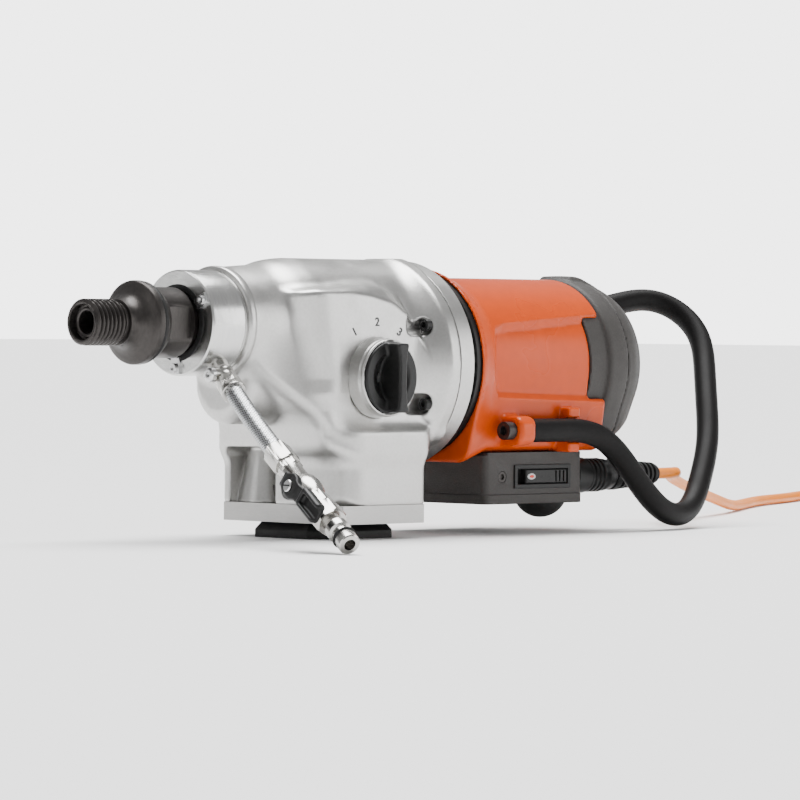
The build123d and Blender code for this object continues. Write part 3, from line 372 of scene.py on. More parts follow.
# -------------------- moulded and cast forms
# A form is a field: the distance to its surface in millimetres, negative inside. The numbers in a field
# are the form's sizes in millimetres, and the last argument of melt, common and cut is a fillet's size.

FORM_SHARP_DEG = 50


def melt(a, b, k):
    """Two forms joined with a fillet."""
    near = np.maximum(k - np.abs(a - b), 0) / k
    return np.minimum(a, b) - near * near * k / 4


def common(a, b, k):
    """What two forms share, with the edge between them rounded."""
    return -melt(-a, -b, k)


def cut(a, b, k):
    """The first form without the second, with rounded edges."""
    return common(a, -b, k)


def slab(value, low, high):
    """What lies between two planes across one axis."""
    return np.abs(value - (low + high) / 2) - (high - low) / 2


def cuboid(x, y, z, spans, r):
    """A box with rounded edges, from its (low, high) spans."""
    outs = [slab(v, *span) + r for v, span in zip((x, y, z), spans)]
    outside = np.sqrt(sum(np.maximum(o, 0) ** 2 for o in outs))
    return outside + np.minimum(np.maximum(np.maximum(outs[0], outs[1]), outs[2]), 0) - r


def rod(a, b, t, centre, radius, span, r):
    """A cylinder with rounded ends: a and b across, t along."""
    across = np.hypot(a - centre[0], b - centre[1]) - radius + r
    length = slab(t, *span) + r
    outside = np.hypot(np.maximum(across, 0), np.maximum(length, 0))
    return outside + np.minimum(np.maximum(across, length), 0) - r


def eased(x, stations, values, width):
    """Values given at stations along X, joined by straight lines with their corners softened."""
    fine = np.linspace(stations[0] - 20, stations[-1] + 20, 400)
    line = np.interp(fine, stations, values)
    step = fine[1] - fine[0]
    count = max(1, int(width / step)) | 1
    smooth = np.convolve(np.pad(line, count // 2, mode="edge"), np.ones(count) / count, mode="valid")
    return np.interp(x, fine, smooth)


def hooded(side, z, foot_z, half, radius, centre_z):
    """A section with a flat foot, two leaning sides and a round crown."""
    reach = np.hypot(half, centre_z - foot_z)
    rise = np.arctan2(foot_z - centre_z, half) + np.arccos(np.clip(radius / reach, -1, 1))
    lean = (side - half) * np.cos(rise) + (z - foot_z) * np.sin(rise)
    crown = np.hypot(side, z - centre_z) - radius
    above = side * np.sin(rise) - (z - centre_z) * np.cos(rise) < 0
    return common(np.where(above, crown, lean), foot_z - z, 10)


def skin(field, low, high, step):
    """The surface where a field is zero, as points and four-sided faces."""
    ticks = [np.arange(a, b + step, step) for a, b in zip(low, high)]
    shape = np.array([len(t) for t in ticks])
    value = field(*np.meshgrid(*ticks, indexing="ij"))
    cells = shape - 1
    total = np.zeros((cells.prod(), 3))
    hits = np.zeros(cells.prod())
    quads = []
    for axis in range(3):
        others = [a for a in range(3) if a != axis]
        first = np.take(value, range(shape[axis] - 1), axis)
        second = np.take(value, range(1, shape[axis]), axis)
        edge = np.argwhere((first < 0) != (second < 0))
        inner = np.all((edge[:, others] > 0) & (edge[:, others] < shape[others] - 1), axis=1)
        edge = edge[inner]
        a, b = first[tuple(edge.T)], second[tuple(edge.T)]
        place = edge.astype(float)
        place[:, axis] += a / (a - b)
        ring = []
        for du, dv in ((0, 0), (1, 0), (1, 1), (0, 1)):
            cell = edge.copy()
            cell[:, others[0]] -= du
            cell[:, others[1]] -= dv
            index = np.ravel_multi_index(cell.T, cells)
            np.add.at(total, index, place)
            np.add.at(hits, index, 1)
            ring.append(index)
        ring = np.stack(ring, 1)
        flip = (a < 0) == (axis == 1)
        ring[flip] = ring[flip][:, ::-1]
        quads.append(ring)
    used = np.flatnonzero(hits)
    order = np.full(cells.prod(), -1)
    order[used] = np.arange(len(used))
    points = np.array(low) + total[used] / hits[used][:, None] * step
    for _ in range(3):
        points = points - pull(field, points)
    return points, order[np.concatenate(quads)]


PROBE = 0.05
LONGEST_PULL = 0.8


def pull(field, points):
    """How far each point is off the surface, as a vector."""
    h = PROBE
    x, y, z = points.T
    off = field(x, y, z)
    slope = np.stack([field(x + h, y, z) - field(x - h, y, z), field(x, y + h, z) - field(x, y - h, z),
                      field(x, y, z + h) - field(x, y, z - h)], 1) / (2 * h)
    length = np.maximum((slope ** 2).sum(1), 0.05)
    return slope * np.clip(off / length, -LONGEST_PULL, LONGEST_PULL)[:, None]


def add_form(name, field, low, high, step, surface, body, slot, replaces):
    points, faces = skin(field, low, high, step)
    return add_piece(name, points, faces, surface, body, slot, replaces, FORM_SHARP_DEG)


# -------------------- gearbox casting

CHEEK_Y = 57.0
POCKET_Y = 57.2
POCKET_Z = 149.8
CROWN_TOP = 196.8


def casing(x, side, y, z):
    """The gearbox's hooded body, its round nose and the countershaft's boss."""
    stations = (-104, -92, -72, -60, -46, -20, 60)
    foot = eased(x, stations, (121, 111, 95, 86, 74, 70, 70), 8)
    half = eased(x, stations, (26, 35, 46, 51, 55, 55, 55), 8)
    radius = eased(x, stations, (38, 39.5, 41, 44.5, 46, 46, 46), 10)
    body = hooded(side, z, foot, half, radius, SPINDLE[1])
    body = common(body, slab(x, -104, 62), 3)
    body = melt(body, rod(y, z, x, SPINDLE, 38, (-110, -80), 0.8), 3)
    body = melt(body, rod(y, z, x, SPINDLE, 39.6, (-109.9, -103.5), 1.6), 0.6)
    boss = rod(y, z, x, (2, 108), 28, (-101, -50), 10)
    return melt(body, boss, 8)


def cheeks(x, side, z):
    """The flat cheeks that carry the dial, with their sloping tops."""
    cheek_top = eased(x, (-76, -60, -30, -10, 12, 28, 37, 44), (172, 173, 172, 170, 165, 156, 142, 120), 6)
    cheek_front = np.interp(z, (60, 78, 100, 172, 190), (-49, -55, -62, -74, -76))
    cheek_side = np.interp(z, (60, 78, 90, 102), (56, 54.5, 54.5, CHEEK_Y))
    cheek = common(side - cheek_side, cheek_front - x, np.interp(z, (70, 112), (9, 26)))
    cheek_rise = np.interp(x, (-72, -40, -10, 15, 40), (0.5, 3, 8, 14, 17))
    cheek = common(cheek, (z - cheek_top) * 0.74 + (side - CHEEK_Y) * 0.67, 2.5)
    cheek = common(cheek, z - cheek_top - cheek_rise, 5)
    cheek = common(cheek, x - 44, 8)
    return common(cheek, 62 - z, 6)


def foot_block(x, side, y, z):
    """The square block on the foot plate, with the corner under the hose taken off."""
    block = common(common(side - 60, slab(x, -42.5, 42.5), 6), slab(z, 23, 74), 3)
    corner = (-42.5 - x + -y - 60) * 0.7071 + 9
    return common(block, corner, 10)


def flange_cone(x, y, z):
    """The cone that opens out to the motor's flange."""
    cone = np.hypot(y - MOTOR[0], z - MOTOR[1]) - eased(x, (20, 30, 53, 64), (40, 49, 73.5, 73.5), 4)
    cone = common(cone * 0.75, slab(x, 12, 62.9), 1.2)
    return common(cone, 52 - z, 4)


def casting_field(x, y, z):
    side = np.abs(y)
    body = casing(x, side, y, z)
    body = melt(body, cheeks(x, side, z), 5)
    body = melt(body, foot_block(x, side, y, z), 14)
    body = melt(body, flange_cone(x, y, z), 9)
    for sign in (-1, 1):
        for level in (POCKET_Z, 2 * MOTOR[1] - POCKET_Z):
            pocket = rod(y, z, x, (sign * POCKET_Y, level), 7.2, (25, 46), 5)
            body = cut(body, pocket, 1.6)
    recess = rod(x, z, y, DIAL, 27.5, (-70, -CHEEK_Y + 2), 0.5)
    body = cut(body, recess, 1)
    window = cuboid(x, y, z, ((-60, -4), (6, 52), (16, 63)), 7)
    post = np.hypot(x + 20, y - 38) - np.interp(z, (24, 64), (19.5, 11.5))
    body = cut(body, cut(window, post, 3), 2)
    for centre, r, span in ((SPINDLE, 34.3, (-99, -84)), (SPINDLE, 24, (-120, -98)), (SPINDLE, 33, (-86, 70)),
                            (SPINDLE, 39.5, (-20, 70)), (MOTOR, 46, (40, 70))):
        body = np.maximum(body, -rod(y, z, x, centre, r, span, 0.2))
    return np.maximum(np.maximum(body, 24 - z), z - CROWN_TOP)


def make_casting():
    add_form("gear_casting", casting_field, (-113, -76, 22), (66, 76, 199), 1.3, "cast", "machine",
             "cast_aluminium", ("gear_housing",))


# -------------------- dial


def bezel_field(x, y, z):
    ring = rod(x, z, y, DIAL, 26.9, (-70.5, -54), 1.6)
    flare = np.hypot(x - DIAL[0], z - DIAL[1]) - 26.9 - 1.4 * np.clip((y + 64) / 7, 0, 1) ** 2
    flare = common(flare * 0.7, slab(y, -66, -CHEEK_Y + 0.6), 1)
    ring = melt(ring, flare, 2)
    ring = np.maximum(ring, -rod(x, z, y, DIAL, 25.6, (-75, -59), 0.2))
    return np.maximum(ring, -rod(x, z, y, DIAL, 8, (-75, -50), 0.1))


def knob_field(x, y, z):
    u, w = x - DIAL[0], z - DIAL[1]
    disc = rod(x, z, y, DIAL, 25.1, (-72, -59.6), 1.2)
    dish = np.sqrt(u ** 2 + w ** 2 + (y + 84) ** 2) - 20.8
    disc = cut(disc, dish, 1.5)
    waist = 3.6 + 3.0 * (w / 24) ** 4
    fin = common(np.abs(u) - waist, slab(w, -24.2, 24.2), 3)
    fin = common(fin, slab(y, -83.8, -62), 2.2)
    fin = common(fin, np.hypot(u, w) - 25, 1.5)
    knob = melt(disc, fin, 3)
    return np.maximum(knob, -rod(x, z, y, DIAL, 7, (-64, -50), 0.1))


def make_dial():
    low = (DIAL[0] - 36, -74, DIAL[1] - 36)
    high = (DIAL[0] + 36, -50, DIAL[1] + 36)
    add_form("dial_seat", bezel_field, low, high, 0.7, "cast", "machine", "cast_aluminium", ("selector_bezel",))
    low = (DIAL[0] - 27, -86, DIAL[1] - 27)
    high = (DIAL[0] + 27, -56, DIAL[1] + 27)
    add_form("speed_knob", knob_field, low, high, 0.6, "knob", "selector", "black_plastic", ("selector_knob",))


NUMERAL_DEG = (-35, 0, 35)
NUMERAL_SIZE = 8.5
NUMERAL_REACH = 38.5


def make_numerals():
    """The speeds 1, 2 and 3, raised on the cheek above the dial."""
    for index, angle in enumerate(NUMERAL_DEG):
        spot = math.radians(angle)
        data = bpy.data.curves.new(f"speed_{index + 1}", "FONT")
        data.body = str(index + 1)
        data.size = NUMERAL_SIZE * MM
        data.extrude = 0.25 * MM
        data.offset = 0.12 * MM
        data.align_x = "CENTER"
        data.align_y = "CENTER"
        text = placed(f"speed_{index + 1}", data)
        x = DIAL[0] + NUMERAL_REACH * math.sin(spot)
        z = DIAL[1] + NUMERAL_REACH * math.cos(spot)
        text.location = (x * MM, (-CHEEK_Y - 0.1) * MM, z * MM)
        text.rotation_euler = (math.pi / 2, spot, 0)
        data.materials.append(FINISHES["ink"])
        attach(text, "machine")


# -------------------- motor housing and rear cover


RECESS_DEPTH = 3.6
NEAR_HANDLE_BOLT = (-68, 75)
FAR_HANDLE_BOLT = (70, 140)
HANDLE_BOLT_HOLE_R = 4.05


def panel_depth(x, z):
    """How deep the long recess in the housing's side is."""
    top = np.interp(x, (100, 124, 228), (144, 151, 159))
    bottom = np.interp(x, (100, 228), (98.5, 94.5))
    left = 108 + ((z - 124) / 26) ** 2 * 8
    nearest = np.minimum(np.minimum((top - z) / 6, (z - bottom) / 5), (x - left) / 5)
    return RECESS_DEPTH * np.clip(nearest, 0, 1)


def housing_field(x, y, z):
    side = np.abs(y)
    foot = eased(x, (88, 93, 110, 230), (52, 52, 59, 59), 4)
    half = eased(x, (88, 93, 110, 230), (52, 52, 54, 54), 4)
    radius = eased(x, (88, 93, 110, 230), (69, 69, 62, 62), 8)
    shell = hooded(side, z, foot, half, radius, MOTOR[1])
    shell = shell + np.where(side > 30, panel_depth(x, z), 0)
    shell = common(shell, slab(x, 90.2, 229.8), 1.6)
    rear = common(common(slab(x, 213, 240), slab(z, 97, 156), 3), 40 - side, 2)
    shell = cut(shell, rear, 1.2)
    lug = common(cuboid(x, y, z, ((120, 136), (-78.5, -48), (64.5, 85.5)), 3.5),
                 (slab(z, 64.5, 85.5) + slab(y, -80.5, -46)) * 0.7 + 5, 2)
    tabs = cuboid(x, y, z, ((182, 194), (-67, -48), (59, 91)), 1.5)
    tabs = cut(tabs, np.hypot(y + 68, z - 75) - 9.4, 1)
    far_lug = cuboid(x, y, z, ((150, 166), (48, 78.5), (129.5, 150.5)), 3.5)
    shell = melt(shell, lug, 5)
    shell = melt(shell, tabs, 2)
    shell = melt(shell, far_lug, 5)
    for centre, r, span in ((NEAR_HANDLE_BOLT, HANDLE_BOLT_HOLE_R, (100, 150)), (NEAR_HANDLE_BOLT, 7.4, (110, 120.2)),
                            (FAR_HANDLE_BOLT, HANDLE_BOLT_HOLE_R, (130, 180)), (MOTOR, 56.4, (80, 240)),
                            (MOTOR, 67.2, (80, 93.2))):
        shell = np.maximum(shell, -rod(y, z, x, centre, r, span, 0.1))
    return np.maximum(shell, -cuboid(x, y, z, ((112, 200), (-46, 46), (40, 76)), 1))


VENT_RINGS = ((16, 8), (30, 16))
COVER_SCREW_RING = 45
COVER_SCREW_DEG = (55, 125, 235, 305)


def round_motor(ring, angle):
    """The (y, z) of a hole on a ring round the motor's axis."""
    return MOTOR[0] + ring * math.cos(angle), MOTOR[1] + ring * math.sin(angle)


def cover_field(x, y, z):
    side = np.abs(y)
    stations = (230, 246, 262, 275)
    foot = eased(x, stations, (66, 66.5, 69, 76), 6)
    half = eased(x, stations, (46, 46, 43, 38), 6)
    radius = eased(x, stations, (62.8, 62.8, 59.5, 53.5), 8)
    shell = hooded(side, z, foot, half, radius, MOTOR[1])
    shell = common(shell, slab(x, 230.6, 274.8), 5)
    groove = common(slab(x, 251.2, 252.8), -shell - 1.2, 0.3)
    shell = cut(shell, groove, 0.8)
    ridge = cuboid(x, y, z, ((237, 273), (-15, 15), (168, 186.5)), 2.5)
    ridge = common(ridge, (z - 186.5 + (x - 250) * 0.5) * 0.89, 4)
    shell = melt(shell, ridge, 4)
    sleeve = rod(y, z, x, MOTOR, 59.6, (213.6, 236), 0.5)
    shell = melt(shell, sleeve, 0.5)
    for ring, count in VENT_RINGS:
        for index in range(count):
            centre = round_motor(ring, 2 * math.pi * (index + 0.5) / count)
            vent = rod(y, z, x, centre, 3.2, (262, 290), 0.5)
            shell = cut(shell, vent, 0.6)
    for angle in COVER_SCREW_DEG:
        centre = round_motor(COVER_SCREW_RING, math.radians(angle))
        shell = np.maximum(shell, -rod(y, z, x, centre, 4.2, (267, 290), 0.3))
        shell = np.maximum(shell, -rod(y, z, x, centre, 2.1, (240, 290), 0.1))
    shell = np.maximum(shell, -rod(y, z, x, MOTOR, 52, (200, 252), 0.3))
    return np.maximum(shell, -rod(y, z, x, MOTOR, 42, (250, 270), 0.3))


INTAKE_SLOTS = 54


def make_intake():
    """The black intake ring, with its air slots."""
    steps = 4 * INTAKE_SLOTS
    profile = [(76.1, 60), (76.1, 66), (76.6, 66.6), (78, 66.8), (79, 65.4), (85, 65.4), (86, 66.8), (92.6, 66.8),
               (93, 66.2), (93, 60)]
    points, faces = turned(profile, closed=True, steps=steps)
    points = np.array(points)
    angle = np.arctan2(points[:, 1], points[:, 0])
    slot = (np.cos(angle * INTAKE_SLOTS) > 0) & (points[:, 2] > 78.5) & (points[:, 2] < 85.5)
    points[slot, :2] *= 0.965
    add_piece("air_intake", *moved((points, faces), about_x(MOTOR)), "black", "machine", "dark_plastic",
              ("intake_ring",), 30)


def make_motor_case():
    add_form("motor_case", housing_field, (85, -81, 48), (233, 81, 194), 1.25, "orange", "machine",
             "orange_housing", ("motor_housing",))
    add_form("rear_case", cover_field, (202, -66, 62), (278, 66, 189), 1.35, "grey", "machine",
             "dark_plastic", ("rear_cover",))


# -------------------- spindle


THREAD_PITCH = 3.629
THREAD_R = 15.875
THREAD_DEPTH = 2.1
THREAD_X = (-230.0, -201.0)
NECK_R = 24.3
FLAT_AT = 20.5


def thread(steps):
    """A right-hand thread along Z with rounded crests, tapered at its start and run out at its end."""
    start, end = THREAD_X
    stations = np.arange(start, end + 0.01, 0.22)
    points = []
    for x in stations:
        for k in range(steps):
            a = 2 * math.pi * k / steps
            phase = ((x - start) / THREAD_PITCH - k / steps) % 1.0
            wave = abs(2 * phase - 1)
            r = THREAD_R - THREAD_DEPTH * min(1, max(0, wave * 1.5 - 0.3))
            r -= max(0, start + 1.6 - x)
            r = min(r, THREAD_R - max(0.0, min(THREAD_DEPTH, (x - (end - 1.5)) * 1.4)))
            points.append((r * math.cos(a), r * math.sin(a), x))
    return points, wall(len(stations), steps)


def wrench_flats(steps):
    """The neck with its two flats for a wrench, along Z."""
    points = []
    stations = (-169.4, -168.6, -148.6, -147.9)
    for x in stations:
        limit = FLAT_AT if -169 < x < -148 else NECK_R
        for k in range(steps):
            a = 2 * math.pi * k / steps
            r = min(NECK_R, limit / max(abs(math.cos(a)), 1e-6))
            points.append((r * math.cos(a), r * math.sin(a), x))
    return points, wall(len(stations), steps)


def make_spindle():
    """The dark spindle: its thread and bore, a flange, wrench flats and its shaft."""
    steps = 96
    bore = turned([(-230, 13.9), (-230.0, 13.0), (-229.4, 12.3), (-224, 12), (-223.6, 10.6), (-225.4, 9.9),
                   (-225.6, 9.2), (-225, 8), (-114, 8), (-110, 0.01)], steps=steps, capped=False)
    front = turned([(-201, 13.7), (-198.5, 13.7), (-198.2, 15.6), (-196, 15.7), (-193.5, 15.9), (-190, 17.2),
                    (-187, 20.4), (-185.2, 24.6), (-184.4, 27.4), (-183.6, 28.5), (-182.6, 28.8), (-179.1, 28.8),
                    (-178.5, 28.2), (-178.5, 24), (-175.5, 24), (-175.5, 26.6), (-175, 27), (-173.6, 26.8),
                    (-170.4, 24.6), (-169.4, 24.3)], steps=steps, capped=False)
    shaft = turned([(-148, 24.3), (-146, 20), (-83, 20), (-83, 18), (46, 18), (46, 8.5), (61.5, 8.5), (61.5, 0.01)],
                   steps=steps, capped=False)
    part = joined(thread(steps), bore, front, wrench_flats(steps), shaft)
    add_piece("drill_spindle", *moved(part, about_x(SPINDLE)), "dark_steel", "spindle", "dark_steel",
              ("spindle",), 40)
    ring = turned([(-178.6, 24), (-178.6, 28), (-177.9, 28.4), (-176.2, 28.4), (-175.4, 27.9), (-175.4, 24)],
                  closed=True)
    add_piece("stop_ring", *moved(ring, about_x(SPINDLE)), "rubber", "spindle", "black_rubber",
              ("spindle_ring",), 40)


def make_collar():
    """The bright water collar, with turned grooves at its ends."""
    ring = turned([(-142, 26.5), (-142, 35.3), (-141, 36.3), (-140.2, 36.5), (-112.4, 36.5), (-112.2, 36),
                   (-111, 36), (-110.8, 36.4), (-110, 36.4), (-110, 26.5), (-118.5, 26.5), (-118.5, 22),
                   (-133.5, 22), (-133.5, 26.5)], closed=True, steps=128)
    add_piece("collar_ring", *moved(ring, about_x(SPINDLE)), "machined", "machine", "machined_aluminium",
              ("water_collar",), 25)


# -------------------- handle


def rounded_path(corners, radii, step=4.0):
    """A bent tube's centreline: straight runs joined by arcs."""
    corners = [Vector(c) for c in corners]
    path = [corners[0]]
    for before, corner, after, radius in zip(corners, corners[1:], corners[2:], radii):
        back, ahead = (before - corner).normalized(), (after - corner).normalized()
        half = back.angle(ahead) / 2
        centre = corner + (back + ahead).normalized() * (radius / math.sin(half))
        first, last = corner + back * (radius / math.tan(half)), corner + ahead * (radius / math.tan(half))
        count = max(4, int(radius * (math.pi - 2 * half) / step))
        start, turn = first - centre, math.pi - 2 * half
        normal = (first - centre).cross(last - centre).normalized()
        path += [centre + Quaternion(normal, turn * k / count) @ start for k in range(count + 1)]
    return path + [corners[-1]]


def evened(path, spacing=2.0, reach=9):
    """The same path in equal steps, its bends eased into one another away from its ends."""
    path = np.array(path)
    at = np.concatenate([[0], np.cumsum(np.linalg.norm(np.diff(path, axis=0), axis=1))])
    count = int(at[-1] / spacing)
    even = np.stack([np.interp(np.linspace(0, at[-1], count), at, path[:, c]) for c in range(3)], 1)
    for _ in range(2):
        padded = np.concatenate([2 * even[0] - even[reach:0:-1], even, 2 * even[-1] - even[-2:-reach - 2:-1]])
        even = np.stack([np.convolve(padded[:, c], np.ones(2 * reach + 1) / (2 * reach + 1), mode="valid")
                         for c in range(3)], 1)
    return [Vector(p) for p in even]


def tube(path, radius, steps=28):
    """A round tube along a path of points, with closed ends."""
    path = [Vector(p) for p in path]
    tangents = [(path[min(i + 1, len(path) - 1)] - path[max(i - 1, 0)]).normalized() for i in range(len(path))]
    side = tangents[0].orthogonal().normalized()
    points = []
    for point, tangent in zip(path, tangents):
        side = (side - tangent * side.dot(tangent)).normalized()
        other = tangent.cross(side)
        for k in range(steps):
            a = 2 * math.pi * k / steps
            points.append(point + (side * math.cos(a) + other * math.sin(a)) * radius)
    return [tuple(p) for p in points], wall(len(path), steps) + caps(len(path), steps)


HANDLE_R = 8.5
HANDLE_ROUTE = [(136, -68, 75), (217, -68, 75), (304, -70, -14), (378, -30, 62), (439, 31, 148), (428, 66, 176),
                (232, 70, 140), (166, 70, 140)]
HANDLE_RADII = [48, 55, 120, 38, 26, 120]


def make_handle():
    path = evened(rounded_path(HANDLE_ROUTE, HANDLE_RADII))
    add_piece("hoop_handle", *tube(path, HANDLE_R), "grip", "machine", "black_plastic", ("handle_tube",), 60)


# -------------------- water feed

ELBOW = Vector((-124.5, -27.5, 115.0))
HOSE_DIR = Vector((-0.2546, -0.788, -0.5595)).normalized()
VALVE_DIR = Vector((-0.272, -0.843, -0.464)).normalized()
BALL, LEVER_DIR = hinge("valve_turn")
HOSE_CORNER = ELBOW + HOSE_DIR * 56
HOSE_START = 14
HOSE_END = 50
HOSE_CORE_R = 5.9
BRAID_BANDS = 14
BRAID_LAY = 34.0
BRAID_R = 6.35
BRAID_RISE = 0.22
BAND_HALF = 0.48
BAND_CROWN = 0.12
BRAID_SAMPLES = 110
SEAL_AT = 156.5
BALL_AT = (BALL - HOSE_CORNER).length


def nurbs(name, points, radius=0.0):
    """A smooth curve whose control points, in metres, are a cord's route."""
    data = bpy.data.curves.new(name, "CURVE")
    data.dimensions = "3D"
    spline = data.splines.new("NURBS")
    spline.points.add(len(points) - 1)
    for target, point in zip(spline.points, points):
        target.co = (*point, 1)
    spline.order_u = 3
    spline.use_endpoint_u = True
    data.resolution_u = 8
    data.bevel_depth = radius
    data.bevel_resolution = 5
    data.use_fill_caps = True
    return placed(name, data)


def followed(points):
    """Points read along the smooth curve through a route."""
    curve = nurbs("route", points)
    line = bpy.data.meshes.new_from_object(curve)
    path = [v.co.copy() for v in line.vertices]
    bpy.data.objects.remove(curve)
    return path


def braid_band(path, lengths, sign, band):
    """One band of the braid: a strip that winds round the hose, over and under the bands across it."""
    whole = lengths[-1]
    strip = []
    for index in range(BRAID_SAMPLES + 1):
        at = whole * index / BRAID_SAMPLES
        centre = Vector([np.interp(at, lengths, [p[c] for p in path]) for c in range(3)])
        tangent = Vector(HOSE_DIR).lerp(VALVE_DIR, min(1, max(0, at / whole))).normalized()
        side = tangent.cross(Vector((0, 0, 1))).normalized()
        other = tangent.cross(side)
        angle = sign * 2 * math.pi * at / BRAID_LAY + 2 * math.pi * band / BRAID_BANDS
        weave = math.cos(BRAID_BANDS * 2 * math.pi * at / BRAID_LAY) * (1 if (band % 2) else -1) * sign
        lift = BRAID_R + BRAID_RISE * weave
        out = side * math.cos(angle) + other * math.sin(angle)
        across = (tangent.cross(out) - tangent * sign * 1.17).normalized() * BAND_HALF
        strip += [centre + out * lift - across, centre + out * (lift + BAND_CROWN), centre + out * lift + across]
    faces = [(3 * i + j, 3 * i + j + 1, 3 * i + j + 4, 3 * i + j + 3) for i in range(BRAID_SAMPLES) for j in (0, 1)]
    return [tuple(p) for p in strip], faces


def make_hose():
    """The braided hose, a dark core under bands of bright wire, with all that it carries."""
    start, end = ELBOW + HOSE_DIR * HOSE_START, HOSE_CORNER + VALVE_DIR * HOSE_END
    route = [start * MM, HOSE_CORNER * MM, end * MM]
    path = [p / MM for p in followed(route)]
    lengths = [0.0]
    for a, b in zip(path, path[1:]):
        lengths.append(lengths[-1] + (b - a).length)
    parts = [tube(path, HOSE_CORE_R, 32)]
    parts += [braid_band(path, lengths, sign, band) for sign in (-1, 1) for band in range(BRAID_BANDS)]
    core = add_piece("braided_hose", *joined(*parts), "wire", "machine", "braid", ("water_hose",), 60)
    core.data.materials.append(FINISHES["rubber"])
    for face in core.data.polygons[:len(parts[0][1])]:
        face.material_index = 1
    seal = turned([(-0.9, 6.3), (-0.9, 7.4), (-0.5, 8.0), (0, 8.2), (0.5, 8.0), (0.9, 7.4), (0.9, 6.3)], closed=True)
    seal_place = along(VALVE_DIR, HOSE_CORNER + VALVE_DIR * SEAL_AT)
    carried = [
        add_piece("hose_fittings", *hose_fittings(), "chrome", "machine", "chrome", ("hose_ferrules",), 30),
        add_piece("valve_case", *valve_case(), "chrome", "machine", "chrome", ("valve_body",), 35),
        add_piece("coupling_nipple", *coupling_nipple(), "chrome", "machine", "chrome", ("hose_nipple",), 30),
        add_piece("coupling_seal", *moved(seal, seal_place), "rubber", "machine", "black_rubber",
                  ("nipple_seal",), 60),
        *make_lever(),
        nodes["valve_ball"],
    ]


def make_lever():
    """The tap's lever, its screw, and a black strip laid across the screw's head: painted shade that stands in for
    the slot, which is not cut.
    """
    low = [BALL[i] - 60 for i in range(3)]
    high = [BALL[i] + 60 for i in range(3)]
    lever = add_form("tap_lever", lever_field, low, high, 0.85, "black", "valve", "black_plastic", ("valve_lever",))
    place = along(LEVER_DIR, BALL)
    screw = turned([(15.4, 0.01), (15.4, 3.8), (17.0, 4.2), (17.6, 3.6), (17.6, 0.01)], steps=32)
    # Painted shade: the slot is not cut into the head. A thin black strip just above the head paints the shade the
    # slot would hold.
    slot = [(sx * 3.6, sy * 0.5, 17.62) for sx, sy in ((-1, -1), (1, -1), (1, 1), (-1, 1))]
    lever_screw = add_piece("tap_screw", *moved(screw, place), "steel", "valve", "bright_steel", ("lever_screw",), 30)
    painted_slot_shade = add_piece("tap_screw_slot_painted_shade", *moved((slot, [(0, 1, 2, 3)]), place), "black", "valve", "bright_steel")
    return lever, lever_screw, painted_slot_shade


def hose_fittings():
    upper = joined(hexagon(15, 8, 17), turned([(17, 7.2), (17, 8.4), (17.8, 8.7), (21.4, 8.7), (22, 8.2), (22, 6.8)]))
    lower = joined(hexagon(17, 42, 62), turned([(41, 6.9), (41, 7.8), (42.2, 8.2), (42.6, 8.2), (42.6, 6)]))
    return joined(moved(upper, along(HOSE_DIR, ELBOW)), moved(lower, along(VALVE_DIR, HOSE_CORNER)))


def valve_case():
    body = turned([(62, 6.5), (62, 7.6), (84, 7.6), (86, 8.6), (90, 10.2), (BALL_AT, 10.8), (BALL_AT + 6, 10.2),
                   (BALL_AT + 10, 8.8), (BALL_AT + 13, 7.6), (122, 7.6), (122, 5)], steps=64)
    nuts = joined(hexagon(15, 62.2, 70), hexagon(17, 108, 121.8))
    stem = turned([(6, 5.6), (10.2, 5.6), (11.2, 5.0), (11.2, 3.1)], steps=40)
    return joined(moved(joined(body, nuts), along(VALVE_DIR, HOSE_CORNER)), moved(stem, along(LEVER_DIR, BALL)))


def coupling_nipple():
    nut = hexagon(19, 122.2, 138, 1.2)
    end = turned([(138, 6.2), (143.5, 6.2), (144, 8), (150, 8), (151, 6.4), (157.4, 6.4), (158, 7.2), (158.6, 7.4),
                  (165.2, 7.4), (166, 6.6), (166, 4), (150, 4), (150, 0.01)], steps=64)
    return moved(joined(nut, end), along(VALVE_DIR, HOSE_CORNER))


def lever_field(x, y, z):
    """The tap's lever: a hub, a waisted arm and a hollowed paddle."""
    rel = np.stack([x - BALL[0], y - BALL[1], z - BALL[2]])
    flow, up = np.array(VALVE_DIR), np.array(LEVER_DIR)
    across = np.cross(up, flow)
    u = np.tensordot(flow, rel, 1)
    v = np.tensordot(across, rel, 1)
    w = np.tensordot(up, rel, 1)
    hub = rod(u, v, w, (0, 0), 9, (11.7, 15.7), 0.8)
    arm = common(common(slab(u, 0, 30), np.abs(v - u * 0.1) - 5.6, 2), slab(w, 11.8, 15.8), 1)
    paddle = cuboid(u, v, w, ((20, 46), (-3, 11), (12.8, 20.5)), 2.6)
    hollow = cuboid(u, v, w, ((24, 60), (0.2, 7.8), (16.4, 30)), 2)
    tail = cuboid(u, v, w, ((-12, -2), (-5.6, 5.6), (11.8, 15.8)), 1.5)
    lever = melt(melt(melt(hub, arm, 3), cut(paddle, hollow, 1), 3), tail, 2)
    return np.maximum(lever, -rod(u, v, w, (0, 0), 3.05, (5, 11.6), 0.1))


# -------------------- power cord

CABLE_R = 0.00415
CABLE_ROUTE = [
    (0.304, -0.040, 0.041),
    (0.321, -0.040, 0.041),
    (0.337, -0.0335, 0.041),
    (0.352, -0.019, 0.0405),
    (0.371, 0.003, 0.039),
    (0.398, 0.027, 0.0355),
    (0.434, 0.050, 0.030),
    (0.482, 0.076, 0.022),
    (0.540, 0.104, 0.013),
    (0.600, 0.138, 0.005),
    (0.664, 0.181, 0.0044),
    (0.728, 0.220, 0.0047),
    (0.796, 0.250, 0.0044),
    (0.864, 0.286, 0.0046),
    (0.928, 0.310, 0.0044),
]
